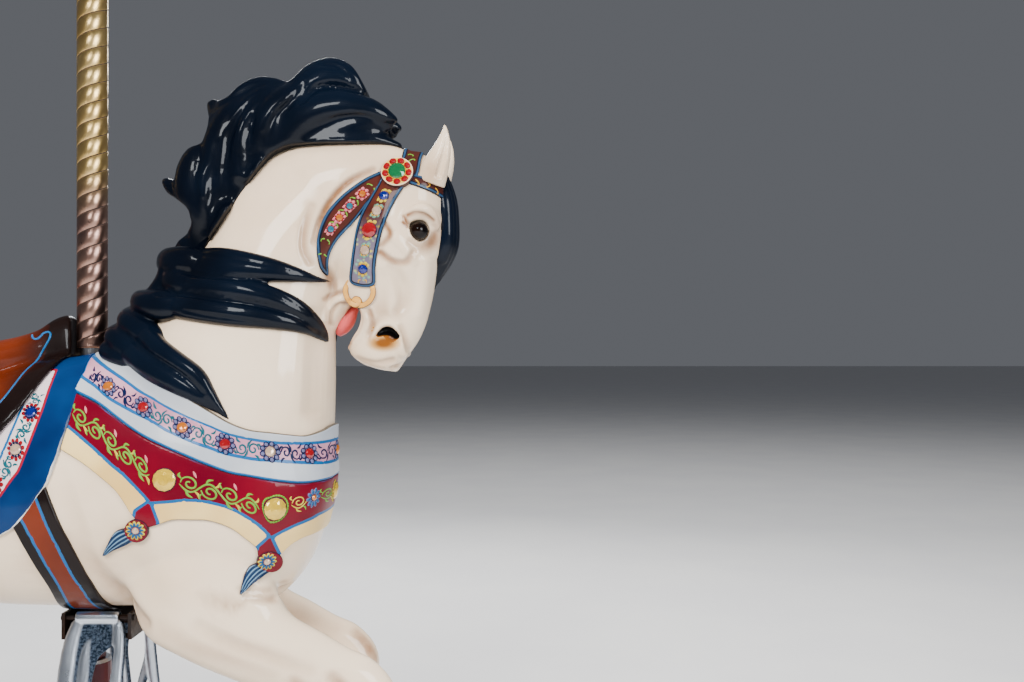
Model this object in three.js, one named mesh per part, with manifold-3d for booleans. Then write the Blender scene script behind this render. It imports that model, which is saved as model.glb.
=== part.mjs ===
// A jumping horse of a fairground carousel, on its brass pole, in millimetres.
// +X is the way the horse faces, +Z is up, and the origin is the centre of the floor flange's
// underside. The horse's right side, the one that faces the public, looks along -Y.
import * as THREE from "three";
import { mergeVertices } from "three/addons/utils/BufferGeometryUtils.js";
import Module from "manifold-3d";

const wasm = await Module();
wasm.setup();

// Driving dimensions.
const SEAT_GAP = 0.3; // clearance between neighbouring pieces at rest
const SLEEVE_R = 25.4; // two-inch brass sleeve
const CORE_R = 19; // steel pole inside the sleeve and the horse
const ROD_R = 22.2; // painted rod that slides in the floor tube
const TUBE_R = 31.8; // two-and-a-half-inch floor tube
const TUBE_WALL = 5;
const TUBE_TOP = 457;
const FLANGE_R = 58;
const FLANGE_T = 12;
const ROD_BOTTOM = 40;
const BELLY_Z = 558;
const WITHERS_Z = 1004;
const SLEEVE_TOP = 2300;
const POLE_TOP = 2330;
const TRIM_T = 7; // thickness of the carved harness
const SADDLE_T = 20;
const FORE_TRAIL = -60; // the left legs trail the right ones
const HIND_TRAIL = -38;
const LEG_DROP = 5;
const BORE_SIDES = 24;
const WIDE = 260; // more than half the width of anything on the horse

// Belly bracket and foot rests.
const BRACKET_X = 34;
const BRACKET_ARM = 56;
const ARM_T = 3;
const SHOULDER_Z = 512; // top of the painted rod, which the bracket stands on
const PIVOT_Y = 56;
const PIVOT_Z = 547;
const PIN_R = 5;
const PIN_LENGTH = 124;
const HUB_R = 11;
const REST_TOP_HALF = 39;
const REST_SPLAY = 13; // degrees from the vertical
const STOP_DROP = 30;

// Crank eye at the top.
const EYE_R = 42;
const EYE_BORE = 20;
const EYE_W = 44;
const EYE_Z = POLE_TOP + EYE_R - 6;

const PAINT = {
  enamel: { color: 0xe9dcc9, roughness: 0.28, metalness: 0 },
  black: { color: 0x0b1016, roughness: 0.16, metalness: 0 },
  brown: { color: 0x54230f, roughness: 0.3, metalness: 0 },
  hoof: { color: 0x3a1a12, roughness: 0.35, metalness: 0 },
  blue: { color: 0x0d3f8f, roughness: 0.25, metalness: 0 },
  band: { color: 0xd8d4d6, roughness: 0.28, metalness: 0 },
  crimson: { color: 0x7d1027, roughness: 0.25, metalness: 0 },
  tassel: { color: 0x3c6f9a, roughness: 0.3, metalness: 0 },
  maroon: { color: 0x4a1018, roughness: 0.3, metalness: 0.1 },
  brass: { color: 0xc79c4e, roughness: 0.28, metalness: 1 },
  steel: { color: 0x8c9096, roughness: 0.35, metalness: 1 },
  cast: { color: 0x9aa4ae, roughness: 0.38, metalness: 1 },
  iron: { color: 0x101214, roughness: 0.55, metalness: 0.4 },
  pink: { color: 0xc8474a, roughness: 0.3, metalness: 0 },
  glass: { color: 0x08080a, roughness: 0.05, metalness: 0 },
  jewel: { color: 0x2f8f62, roughness: 0.08, metalness: 0 },
};

const vec = (x, y, z) => new THREE.Vector3(x, y, z);
const radians = THREE.MathUtils.degToRad;
const mirrored = (stations) => stations.map(([x, y, ...rest]) => [x, -y, ...rest]);


// Solids and geometries.

function solidOf(geometry) {
  const bare = geometry.clone();
  bare.deleteAttribute("normal");
  bare.deleteAttribute("uv");
  const merged = mergeVertices(bare, 1e-3);
  return new wasm.Manifold(
    new wasm.Mesh({
      numProp: 3,
      vertProperties: merged.attributes.position.array,
      triVerts: new Uint32Array(merged.index.array),
    }),
  );
}

function geometryOf(solid) {
  const mesh = solid.getMesh();
  const positions = new Float32Array(mesh.numVert * 3);
  for (let i = 0; i < mesh.numVert; i += 1) {
    const start = i * mesh.numProp;
    positions.set(mesh.vertProperties.subarray(start, start + 3), i * 3);
  }
  return new THREE.BufferGeometry()
    .setAttribute("position", new THREE.BufferAttribute(positions, 3))
    .setIndex(new THREE.BufferAttribute(new Uint32Array(mesh.triVerts), 1));
}

// The largest body of a solid: a cut can leave crumbs, which no carver would keep.
function largest(solid) {
  const bodies = solid.decompose();
  bodies.sort((a, b) => b.volume() - a.volume());
  return bodies[0];
}

function union(solids) {
  return solids.reduce((all, next) => all.add(next));
}

function cut(solid, ...tools) {
  return tools.reduce((rest, tool) => rest.subtract(tool), solid);
}

// A closed skin over rings of points, with a fan of triangles over each end.
function skin(rings) {
  const sides = rings[0].length;
  const points = [];
  const faces = [];
  for (const ring of rings) for (const p of ring) points.push(p.x, p.y, p.z);
  for (let r = 0; r < rings.length - 1; r += 1) {
    for (let s = 0; s < sides; s += 1) {
      const a = r * sides + s;
      const b = r * sides + ((s + 1) % sides);
      faces.push(a, b, b + sides, a, b + sides, a + sides);
    }
  }
  for (const [ring, flip] of [[0, true], [rings.length - 1, false]]) {
    const middle = rings[ring].reduce((sum, p) => sum.add(p), vec(0, 0, 0)).divideScalar(sides);
    const hub = points.length / 3;
    points.push(middle.x, middle.y, middle.z);
    for (let s = 0; s < sides; s += 1) {
      const a = ring * sides + s;
      const b = ring * sides + ((s + 1) % sides);
      faces.push(...(flip ? [hub, b, a] : [hub, a, b]));
    }
  }
  const geometry = new THREE.BufferGeometry()
    .setAttribute("position", new THREE.Float32BufferAttribute(points, 3))
    .setIndex(faces);
  return facingOut(geometry);
}

function facingOut(geometry) {
  const p = geometry.attributes.position;
  const index = geometry.index.array;
  let volume = 0;
  for (let i = 0; i < index.length; i += 3) {
    const [a, b, c] = [0, 1, 2].map((k) => new THREE.Vector3().fromBufferAttribute(p, index[i + k]));
    volume += a.dot(b.cross(c));
  }
  if (volume < 0) {
    for (let i = 0; i < index.length; i += 3) {
      [index[i + 1], index[i + 2]] = [index[i + 2], index[i + 1]];
    }
  }
  return geometry;
}

// An oval ring: across and along are half sizes, and power 2 is an ellipse, more is boxier.
function oval(centre, acrossDir, alongDir, across, along, sides, power = 2) {
  const ring = [];
  for (let s = 0; s < sides; s += 1) {
    const angle = (2 * Math.PI * (s + 0.5)) / sides;
    const shape = (v) => Math.sign(v) * Math.abs(v) ** (2 / power);
    ring.push(
      centre.clone()
        .addScaledVector(acrossDir, across * shape(Math.cos(angle)))
        .addScaledVector(alongDir, along * shape(Math.sin(angle))),
    );
  }
  return ring;
}

// Rows of numbers with further rows between them, on a smooth path through the given ones.
function smooth(rows, steps) {
  const out = [];
  for (let i = 0; i < rows.length - 1; i += 1) {
    const [a, b, c, d] = [-1, 0, 1, 2].map((k) => rows[THREE.MathUtils.clamp(i + k, 0, rows.length - 1)]);
    for (let s = 0; s < steps; s += 1) {
      const t = s / steps;
      out.push(b.map((_, n) => b[n] + 0.5 * t * (c[n] - a[n]
        + t * (2 * a[n] - 5 * b[n] + 4 * c[n] - d[n] + t * (3 * b[n] - a[n] - 3 * c[n] + d[n])))));
    }
  }
  out.push(rows[rows.length - 1]);
  return out;
}

// A limb through stations [x, y, z, half depth, half width]: depth is in the side view and square
// to the path, width is across the horse. grow thickens it all round.
function limb(stations, { sides = 12, grow = 0, power = 2, steps = 2 } = {}) {
  const rows = smooth(stations, steps);
  const at = rows.map(([x, y, z]) => vec(x, y, z));
  const rings = rows.map(([, , , depth, width], i) => {
    const ahead = at[Math.min(i + 1, at.length - 1)];
    const behind = at[Math.max(i - 1, 0)];
    const along = ahead.clone().sub(behind).normalize();
    const across = vec(0, 1, 0).addScaledVector(along, -along.y).normalize();
    const deep = along.clone().cross(across).normalize();
    const first = i === 0 ? -grow : 0;
    const last = i === at.length - 1 ? grow : 0;
    const centre = at[i].clone().addScaledVector(along, first + last);
    return oval(centre, across, deep, width + grow, depth + grow, sides, power);
  });
  return solidOf(skin(rings));
}

// A form through spans [x1, z1, x2, z2, half width, y]: each span is a line across the form in the
// side view, from one of its edges to the other.
function form(spans, { sides = 20, grow = 0, power = 2.2, steps = 2 } = {}) {
  const rows = smooth(spans, steps);
  const middles = rows.map(([x1, z1, x2, z2, , y]) => vec((x1 + x2) / 2, y, (z1 + z2) / 2));
  const rings = rows.map(([x1, z1, x2, z2, half], i) => {
    const deep = vec(x2 - x1, 0, z2 - z1);
    const reach = deep.length() / 2;
    const along = middles[Math.min(i + 1, rows.length - 1)].clone().sub(middles[Math.max(i - 1, 0)]).normalize();
    const end = (i === rows.length - 1 ? grow : 0) - (i === 0 ? grow : 0);
    const centre = middles[i].clone().addScaledVector(along, end);
    return oval(centre, vec(0, 1, 0), deep.normalize(), half + grow, reach + grow, sides, power);
  });
  return solidOf(skin(rings));
}

// An outline moved inwards by a distance, or outwards where it is negative.
function inset(outline, by) {
  const turn = Math.sign(THREE.ShapeUtils.area(outline.map(([x, z]) => new THREE.Vector2(x, z))));
  const normal = ([ax, az], [bx, bz]) => {
    const length = turn * Math.hypot(bx - ax, bz - az);
    return [(az - bz) / length, (bx - ax) / length];
  };
  return outline.map((p, i) => {
    const [nx, nz] = normal(outline.at(i - 1), p);
    const [mx, mz] = normal(p, outline[(i + 1) % outline.length]);
    const reach = by / Math.max(1 + nx * mx + nz * mz, 0.4);
    return [p[0] + (nx + mx) * reach, p[1] + (nz + mz) * reach];
  });
}

// A plate of a side-view outline [[x, z], ...], from y = low to y = high.
function plate(outline, low, high) {
  const shape = new THREE.Shape(outline.map(([x, z]) => new THREE.Vector2(x, z)));
  const geometry = new THREE.ExtrudeGeometry(shape, { depth: high - low, bevelEnabled: false });
  geometry.rotateX(Math.PI / 2);
  geometry.translate(0, high, 0);
  return solidOf(geometry);
}

function cylinderAt(centre, direction, radius, length, sides = BORE_SIDES) {
  const geometry = new THREE.CylinderGeometry(radius, radius, length, sides);
  geometry.applyQuaternion(new THREE.Quaternion().setFromUnitVectors(vec(0, 1, 0), direction.clone().normalize()));
  geometry.translate(centre.x, centre.y, centre.z);
  return solidOf(geometry);
}

function boxAt(low, high) {
  const size = high.map((v, i) => v - low[i]);
  const geometry = new THREE.BoxGeometry(...size);
  geometry.translate(...low.map((v, i) => v + size[i] / 2));
  return solidOf(geometry);
}

function lathe(profile, sides) {
  const geometry = new THREE.LatheGeometry(profile.map(([r, z]) => new THREE.Vector2(r, z)), sides);
  geometry.rotateX(Math.PI / 2);
  return solidOf(facingOut(mergeVertices(stripped(geometry), 1e-3)));
}

function stripped(geometry) {
  geometry.deleteAttribute("normal");
  geometry.deleteAttribute("uv");
  return geometry;
}

// The horse's own form.

// Trunk, from rump to chest: [x at the belly, z, x at the back, z, half width, y].
const TRUNK = [
  [-612, 775, -614, 835, 34, 0],
  [-600, 728, -598, 882, 82, 0],
  [-560, 682, -562, 914, 124, 0],
  [-480, 640, -480, 936, 154, 0],
  [-380, 608, -380, 943, 167, 0],
  [-260, 578, -260, 945, 166, 0],
  [-130, BELLY_Z + 4, -130, 958, 163, 0],
  [0, BELLY_Z, 0, 988, 161, 0],
  [110, BELLY_Z, 110, 1000, 160, 0],
  [220, BELLY_Z, 220, 975, 156, 0],
  [300, BELLY_Z + 2, 300, 935, 144, 0],
  [348, 588, 350, 905, 126, 0],
  [386, 640, 388, 872, 100, 0],
  [410, 712, 412, 840, 66, 0],
  [419, 762, 421, 806, 30, 0],
];

// Neck, from the withers and chest to the poll: [x and z at the back, x and z at the front, half
// width, y].
const NECK = [
  [20, 930, 408, 700, 118, 0],
  [42, 978, 419, 790, 132, 0],
  [72, 1008, 422, 868, 136, 0],
  [112, 1046, 424, 950, 130, 0],
  [154, 1098, 424, 1030, 118, 0],
  [188, 1158, 427, 1092, 104, 0],
  [222, 1222, 442, 1132, 92, 0],
  [260, 1288, 474, 1160, 82, 0],
  [308, 1334, 502, 1190, 76, 0],
  [368, 1358, 524, 1224, 72, 0],
  [448, 1363, 545, 1262, 64, 0],
  [518, 1358, 562, 1300, 50, 0],
  [552, 1346, 574, 1324, 30, 0],
];

// Skull and muzzle, from the top down: [x and z at the back, x and z at the face, half width, y].
const SKULL = [
  [542, 1342, 592, 1336, 28, 0],
  [508, 1322, 606, 1318, 50, 0],
  [474, 1290, 617, 1290, 63, 0],
  [448, 1248, 621, 1250, 71, 0],
  [430, 1200, 618, 1204, 75, 0],
  [423, 1152, 609, 1156, 71, 0],
  [427, 1112, 600, 1112, 60, 0],
  [438, 1078, 592, 1074, 51, 0],
  [450, 1048, 583, 1042, 48, 0],
  [450, 1016, 570, 1014, 47, 0],
  [453, 994, 553, 990, 44, 0],
  [474, 976, 541, 972, 36, 0],
  [504, 966, 534, 962, 20, 0],
];
const LOWER_JAW = [
  [462, 0, 1128, 30, 44],
  [440, 0, 1092, 26, 42],
  [424, 0, 1062, 19, 36],
  [418, 0, 1042, 14, 30],
  [417, 0, 1032, 9, 20],
];
const MOUTH = [
  [464, 1084], [476, 1062], [472, 1040], [460, 1022], [450, 1005], [446, 985], [424, 985], [432, 1014],
  [437, 1040], [446, 1064],
];
const EAR = [
  [594, 40, 1286, 27, 22],
  [604, 44, 1312, 24, 20],
  [616, 49, 1338, 18, 15],
  [625, 53, 1360, 10, 9],
  [629, 55, 1376, 3, 3],
];

// Right foreleg, folded back at the knee: spans from its lower to its upper edge.
const RIGHT_FORELEG = [
  [84, 640, 280, 750, 56, -80],
  [104, 584, 322, 668, 60, -92],
  [136, 530, 350, 596, 58, -101],
  [186, 502, 374, 562, 53, -107],
  [239, 478, 421, 536, 49, -110],
  [290, 458, 468, 509, 45, -111],
  [345, 438, 504, 493, 42, -112],
  [400, 420, 534, 464, 40, -112],
  [444, 406, 547, 434, 40, -112],
  [462, 400, 545, 404, 39, -112],
  [464, 392, 526, 372, 36, -112],
  [450, 384, 498, 350, 31, -112],
  [426, 374, 462, 330, 27, -112],
  [395, 354, 424, 308, 25, -112],
  [360, 334, 388, 284, 26, -112],
  [326, 322, 368, 256, 33, -112],
  [304, 300, 336, 244, 29, -112],
  [272, 292, 306, 230, 34, -112],
];

const RIGHT_HIND_LEG = [
  [-430, -70, 800, 150, 70],
  [-440, -92, 715, 136, 72],
  [-458, -104, 640, 112, 64],
  [-505, -110, 575, 84, 52],
  [-562, -112, 526, 62, 43],
  [-598, -112, 484, 52, 39],
  [-602, -112, 440, 40, 34],
  [-600, -112, 380, 31, 29],
  [-597, -112, 325, 30, 28],
  [-592, -112, 282, 38, 34],
  [-600, -112, 250, 32, 31],
  [-622, -112, 228, 34, 35],
];

// The left legs are the right ones mirrored, and trail a little.
const LEFT_FORELEG = RIGHT_FORELEG.map(([x1, z1, x2, z2, half, y]) => [
  x1 + FORE_TRAIL, z1 - LEG_DROP, x2 + FORE_TRAIL, z2 - LEG_DROP, half, -y,
]);
const LEFT_HIND_LEG = RIGHT_HIND_LEG.map(([x, y, ...rest]) => [x + HIND_TRAIL, -y, ...rest]);

// Hoof: [distance behind the coronet, half depth, half width] along its own axis.
const HOOF = [
  [-8, 34, 35],
  [22, 41, 42],
  [46, 46, 46],
  [52, 44, 44],
];
const FORE_CORONET = [289, -112, 261];
const HIND_CORONET = [-622, -112, 228];
const FORE_HOOF_DROP = -16; // degrees below straight back
const HIND_HOOF_DROP = -24;

const TAIL = [
  [-596, 0, 868, 22, 20],
  [-628, 0, 890, 34, 34],
  [-668, 0, 872, 46, 50],
  [-695, 0, 810, 50, 60],
  [-700, 0, 730, 48, 60],
  [-698, 0, 650, 42, 52],
  [-712, 0, 580, 32, 38],
  [-742, 0, 525, 18, 20],
  [-762, 0, 495, 5, 5],
];

// The mane stands up along the crest, as wide as these spans (neck side, outer side, half width, y)
// and cut to the flame-shaped outline below.
const CREST = [
  [190, 1130, 100, 1150, 34, 0],
  [214, 1178, 108, 1204, 46, 0],
  [236, 1220, 112, 1262, 54, 0],
  [262, 1262, 124, 1330, 58, 0],
  [290, 1304, 160, 1400, 60, 0],
  [324, 1334, 214, 1456, 60, 0],
  [376, 1352, 300, 1500, 58, 0],
  [430, 1358, 394, 1530, 54, 0],
  [480, 1358, 478, 1510, 46, 0],
  [518, 1352, 538, 1460, 36, 0],
  [548, 1344, 580, 1400, 20, 0],
];
const CREST_OUTLINE = [
  [560, 1346], [540, 1352], [524, 1368], [504, 1372], [520, 1380], [541, 1392], [524, 1414], [487, 1437],
  [480, 1455], [459, 1489], [425, 1505], [390, 1499], [368, 1474], [354, 1460], [328, 1468], [300, 1470],
  [272, 1456], [250, 1434], [234, 1428], [214, 1436], [207, 1424], [214, 1398], [215, 1380], [206, 1354],
  [176, 1342], [162, 1316], [159, 1296], [131, 1296], [140, 1272], [164, 1256], [184, 1240], [189, 1222],
  [187, 1212], [163, 1189], [148, 1172], [190, 1120], [260, 1180], [300, 1260], [360, 1310], [450, 1320],
  [540, 1310],
];
const UPPER_LOCK = [
  [150, 1174], [186, 1160], [226, 1171], [252, 1171], [305, 1163], [354, 1151], [397, 1135], [425, 1124],
  [422, 1112], [402, 1114], [342, 1114], [372, 1090], [400, 1064], [414, 1040], [419, 1013], [404, 1019],
  [396, 1029], [338, 1031], [272, 1036], [212, 1044], [174, 1052], [130, 1057], [106, 1066], [112, 1080],
  [136, 1098], [158, 1118], [150, 1138], [146, 1160],
];
const SHOULDER_LOCK = [
  [128, 1058], [138, 1042], [154, 1022], [187, 996], [216, 970], [236, 944], [252, 920], [270, 886],
  [250, 889], [219, 905], [187, 921], [150, 944], [108, 970], [81, 990], [62, 1004], [72, 1022],
  [94, 1042], [110, 1058],
];
const LOCK_T = 24;
const FORELOCK = [
  [596, 0, 1326, 10, 16],
  [612, 0, 1296, 18, 26],
  [622, 0, 1256, 20, 36],
  [623, 0, 1210, 20, 38],
  [617, 0, 1168, 18, 30],
  [605, 0, 1132, 11, 15],
  [597, 0, 1108, 3, 4],
];

// Harness outlines in the side view, [x, z].
const SADDLE_CLOTH = [
  [10, 1040], [18, 998], [27, 960], [29, 926], [26, 888], [15, 841], [-2, 790], [-18, 766], [-47, 727],
  [-78, 706], [-130, 690], [-200, 684], [-270, 694], [-326, 722], [-362, 766], [-378, 820], [-384, 880],
  [-384, 1040],
];
const SADDLE_FLAP = [
  [4, 1080], [-1, 1014], [-5, 993], [-14, 967], [-27, 942], [-49, 902], [-75, 867], [-105, 828],
  [-140, 797], [-182, 778], [-225, 778], [-262, 802], [-286, 846], [-300, 892], [-330, 940], [-350, 990],
  [-350, 1080],
];
const GIRTH = [
  [-50, 727], [-2, 792], [25, 733], [44, 685], [43, 620], [33, 562], [33, 500], [-34, 500], [-34, 562],
  [-24, 620], [-28, 679],
];
// The collar's lower edge is the apron's upper edge.
const COLLAR_FOOT = [
  [29, 927], [69, 910], [122, 875], [155, 856], [215, 829], [250, 814], [281, 802], [312, 795], [346, 787],
  [386, 780], [420, 781], [450, 784],
];
const COLLAR = [
  ...COLLAR_FOOT, [450, 880], [420, 871], [409, 864], [389, 858], [368, 861], [339, 866], [308, 871],
  [278, 883], [250, 900], [213, 922], [179, 942], [124, 974], [68, 1008], [42, 1020], [20, 1040], [18, 998],
  [27, 960],
];
const APRON = [
  ...[...COLLAR_FOOT].reverse(), [26, 888], [16, 842], [46, 828], [79, 809], [107, 787], [123, 761],
  [131, 742], [151, 720], [170, 722], [194, 730], [222, 730], [251, 728], [282, 716], [303, 699],
  [320, 681], [324, 662], [350, 664], [368, 680], [384, 689], [401, 692], [450, 696],
];
// Each tassel: [x, z] of its rosette and of its tip.
const TASSELS = {
  front: { rosette: [334, 653], tip: [296, 606] },
  rear: { rosette: [134, 712], tip: [76, 671] },
};
const TASSEL_R = 20;

const BRIDLE_STRAPS = {
  crown: [[558, 1341], [546, 1322], [540, 1290], [575, 1290], [585, 1329], [590, 1380], [560, 1380]],
  cheek: [[514, 1300], [514, 1287], [480, 1223], [470, 1178], [464, 1114], [504, 1110], [511, 1164],
    [518, 1201], [536, 1237], [558, 1276], [558, 1300]],
  throat: [[530, 1310], [514, 1298], [478, 1270], [436, 1223], [416, 1190], [409, 1164], [411, 1142],
    [422, 1128], [426, 1162], [444, 1190], [483, 1234], [503, 1257], [540, 1280]],
  brow: [[560, 1300], [572, 1296], [602, 1288], [640, 1274], [640, 1250], [596, 1268], [560, 1280]],
};
const BRIDLE_T = 4;
const ROSETTE = { x: 544, y: 62, z: 1295, r: 26, t: 9 };
const BIT_RING = { x: 475, z: 1100, r: 24, wire: 5 };
const EYE = { x: 577, y: 63, z: 1201, r: 18 };
const TONGUE = [
  [463, 0, 1074, 5, 8],
  [455, 0, 1065, 10, 14],
  [446, 0, 1051, 14, 18],
  [437, 0, 1037, 12, 15],
  [431, 0, 1027, 5, 6],
];

// The saddle's tree and seat, from pommel to cantle: spans from underside to top.
const SADDLE_SEAT = [
  [-12, 990, -12, 1030, 12, 0],
  [-22, 980, -24, 1051, 22, 0],
  [-38, 974, -40, 1061, 32, 0],
  [-60, 966, -60, 1054, 44, 0],
  [-84, 958, -84, 1036, 60, 0],
  [-130, 950, -130, 1021, 82, 0],
  [-190, 944, -190, 1013, 100, 0],
  [-250, 942, -250, 1019, 110, 0],
  [-300, 942, -302, 1036, 108, 0],
  [-330, 944, -336, 1050, 96, 0],
  [-346, 948, -352, 1046, 76, 0],
];

// Foot rests, in the side view from the pivot: [x, drop].
const REST_OUTLINE = [
  [-39, 0], [-45, 14], [-52, 45], [-56, 95], [-60, 205], [-66, 392], [-61, 410], [-46, 420], [46, 420],
  [61, 410], [66, 392], [60, 205], [56, 95], [52, 45], [45, 14], [39, 0],
];
const REST_WINDOWS = [
  [[-21, 198], [-21, 122], [-15, 92], [-2, 71], [15, 60], [26, 61], [31, 74], [34, 198]],
  [[-25, 214], [-31, 384], [-22, 395], [30, 395], [38, 384], [35, 214]],
];
const REST_T = 9; // half thickness of the casting
const STEP_TREADS = [{ drop: 206, half: 54, deep: 13 }, { drop: 408, half: 50, deep: 18 }];

// The pieces of the horse's own form. grow thickens a form all round.
const trunk = (grow = 0) => form(TRUNK, { sides: 24, grow, power: 2.25 });
const neck = (grow = 0) => form(NECK, { sides: 18, grow, power: 2.15 });
const rightForeleg = (grow = 0) => form(RIGHT_FORELEG, { sides: 14, grow, power: 2.1, steps: 1 });
const leftForeleg = (grow = 0) => form(LEFT_FORELEG, { sides: 14, grow, power: 2.1, steps: 1 });
const rightHindLeg = (grow = 0) => limb(RIGHT_HIND_LEG, { grow });
const leftHindLeg = (grow = 0) => limb(LEFT_HIND_LEG, { grow });
const skull = (grow = 0) => form(SKULL, { sides: 16, grow });
const ear = (side, grow = 0) => limb(side > 0 ? EAR : mirrored(EAR), { sides: 8, grow });
const crest = (grow = 0) => form(CREST, { sides: 16, grow });

function head(grow = 0) {
  const whole = skull(grow).add(limb(LOWER_JAW, { grow }));
  return cut(whole, plate(inset(MOUTH, grow), -WIDE, WIDE));
}

function eye(side, grow = 0) {
  const ball = new THREE.SphereGeometry(EYE.r + grow, 14, 8);
  return solidOf(ball.translate(EYE.x, side * EYE.y, EYE.z));
}

const poleBore = (radius) => cylinderAt(vec(0, 0, 1200), vec(0, 0, 1), radius, 2600);
const forehand = (grow) => union([trunk(grow), neck(grow), rightForeleg(grow), leftForeleg(grow)]);
const forequarters = (grow) => skull(grow).add(neck(grow));

function trunkNode() {
  return largest(cut(trunk(), poleBore(CORE_R + SEAT_GAP)));
}

function neckNode() {
  return largest(cut(neck(), trunk(SEAT_GAP), head(SEAT_GAP), poleBore(SLEEVE_R + 6)));
}

function headNode() {
  return largest(cut(head(), eye(1, SEAT_GAP), eye(-1, SEAT_GAP)));
}

function legNode(leg) {
  return largest(cut(leg(), trunk(SEAT_GAP), neck(SEAT_GAP)));
}

// A hoof runs on from its leg's coronet, by its own slope.
function hoof([x, y, z], drop, leg) {
  const slope = radians(drop);
  const along = HOOF.map(([back, depth, width]) => [
    x - back * Math.cos(slope), y, z + back * Math.sin(slope), depth, width,
  ]);
  return largest(cut(limb(along), leg(SEAT_GAP)));
}

// A piece of harness or hair is a skin over a form, cut to its outlines.
function sheath(form, outlines, outer, inner = SEAT_GAP) {
  const cutter = union(outlines.map((outline) => plate(inset(outline, SEAT_GAP / 2), -WIDE, WIDE)));
  return cut(form(outer), form(inner)).intersect(cutter);
}

function onSide(solid, side) {
  return solid.intersect(side > 0 ? boxAt([-900, SEAT_GAP / 2, 0], [900, WIDE, 1600])
    : boxAt([-900, -WIDE, 0], [900, -SEAT_GAP / 2, 1600]));
}

function maneCrest() {
  const flame = crest().intersect(plate(CREST_OUTLINE, -WIDE, WIDE));
  return largest(cut(flame, forequarters(SEAT_GAP), straps(SEAT_GAP),
    plate(inset(UPPER_LOCK, -SEAT_GAP), -WIDE, WIDE)));
}

function maneLock(side, outline) {
  const lock = sheath(neck, [outline], LOCK_T);
  return largest(onSide(cut(lock, trunk(SEAT_GAP), head(SEAT_GAP), poleBore(SLEEVE_R + 6)), side));
}

function saddleCloth() {
  const cloth = sheath(trunk, [SADDLE_CLOTH], TRIM_T);
  return largest(cut(cloth, poleBore(SLEEVE_R + 8), neck(SEAT_GAP), plate(GIRTH, -WIDE, WIDE)));
}

function saddle() {
  const seat = form(SADDLE_SEAT, { sides: 18, power: 2.4 });
  const flaps = sheath(trunk, [SADDLE_FLAP], SADDLE_T, TRIM_T + SEAT_GAP);
  return largest(cut(seat.add(flaps), trunk(TRIM_T + SEAT_GAP), poleBore(SLEEVE_R + 6)));
}

function girth() {
  const strap = sheath(trunk, [GIRTH], TRIM_T - 1);
  const arm = BRACKET_ARM + ARM_T;
  const clearance = boxAt(
    [BRACKET_X - arm - 2, -PIVOT_Y - 14, SHOULDER_Z], [BRACKET_X + arm + 2, PIVOT_Y + 14, BELLY_Z + 14]);
  return largest(cut(strap, clearance, poleBore(CORE_R + 14)));
}

function collar() {
  const underLock = plate(inset(SHOULDER_LOCK, -SEAT_GAP), -WIDE, WIDE);
  return largest(cut(sheath(forehand, [COLLAR], TRIM_T), poleBore(SLEEVE_R + 6), underLock));
}

function apron() {
  return largest(sheath(forehand, [APRON], TRIM_T - 1));
}

function tassel(side, { rosette: [x, z], tip }) {
  const lean = Math.atan2(tip[1] - z, tip[0] - x);
  const around = (turn, reach) => [x + reach * Math.cos(lean + turn), z + reach * Math.sin(lean + turn)];
  const round = Array.from({ length: 12 }, (_, i) => around(radians(i * 30), TASSEL_R));
  const fringe = [around(1.2, TASSEL_R), around(0.45, 2 * TASSEL_R), tip, around(-0.3, 2 * TASSEL_R),
    around(-1.2, TASSEL_R)];
  const body = sheath(forehand, [round, fringe], TRIM_T + 2);
  return largest(onSide(cut(body, plate(inset(APRON, -SEAT_GAP), -WIDE, WIDE)), side));
}

// The rosette sits on the crossing of the straps.
function rosette(side) {
  const disc = cylinderAt(vec(ROSETTE.x, side * ROSETTE.y, ROSETTE.z), vec(0, 1, 0), ROSETTE.r, 3 * ROSETTE.t, 20);
  return largest(cut(disc, forequarters(BRIDLE_T + SEAT_GAP)));
}

function bitRing(side, grow = 0) {
  const ring = new THREE.TorusGeometry(BIT_RING.r, BIT_RING.wire + grow, 8, 20);
  ring.rotateX(Math.PI / 2);
  ring.translate(BIT_RING.x, side * 59, BIT_RING.z);
  return solidOf(ring);
}

function straps(grow = 0) {
  const outlines = Object.values(BRIDLE_STRAPS).map((outline) => inset(outline, -grow));
  return sheath(forequarters, outlines, BRIDLE_T + grow);
}

function bridle() {
  const trims = [1, -1].flatMap((side) => [eye, ear, bitRing].map((trim) => trim(side, SEAT_GAP)));
  return largest(cut(straps(), ...trims));
}

// The pole and what it runs in.
function pole() {
  return lathe([
    [0, SHOULDER_Z + SEAT_GAP], [CORE_R, SHOULDER_Z + SEAT_GAP], [CORE_R, POLE_TOP], [0, POLE_TOP],
  ], BORE_SIDES);
}

function lowerRod() {
  return lathe([
    [0, ROD_BOTTOM], [ROD_R - 2, ROD_BOTTOM], [ROD_R, ROD_BOTTOM + 2], [ROD_R, SHOULDER_Z], [0, SHOULDER_Z],
  ], BORE_SIDES);
}

function brassSleeve() {
  const base = WITHERS_Z;
  const foot = SLEEVE_R + 5;
  return lathe([
    [CORE_R + SEAT_GAP, base], [foot, base], [foot, base + 10], [SLEEVE_R, base + 16],
    [SLEEVE_R, SLEEVE_TOP], [CORE_R + SEAT_GAP, SLEEVE_TOP], [CORE_R + SEAT_GAP, base],
  ], BORE_SIDES);
}

function floorTube() {
  const inner = TUBE_R - TUBE_WALL;
  return lathe([
    [inner, FLANGE_T + SEAT_GAP], [TUBE_R, FLANGE_T + SEAT_GAP], [TUBE_R, TUBE_TOP], [inner, TUBE_TOP],
    [inner, FLANGE_T + SEAT_GAP],
  ], BORE_SIDES);
}

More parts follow.
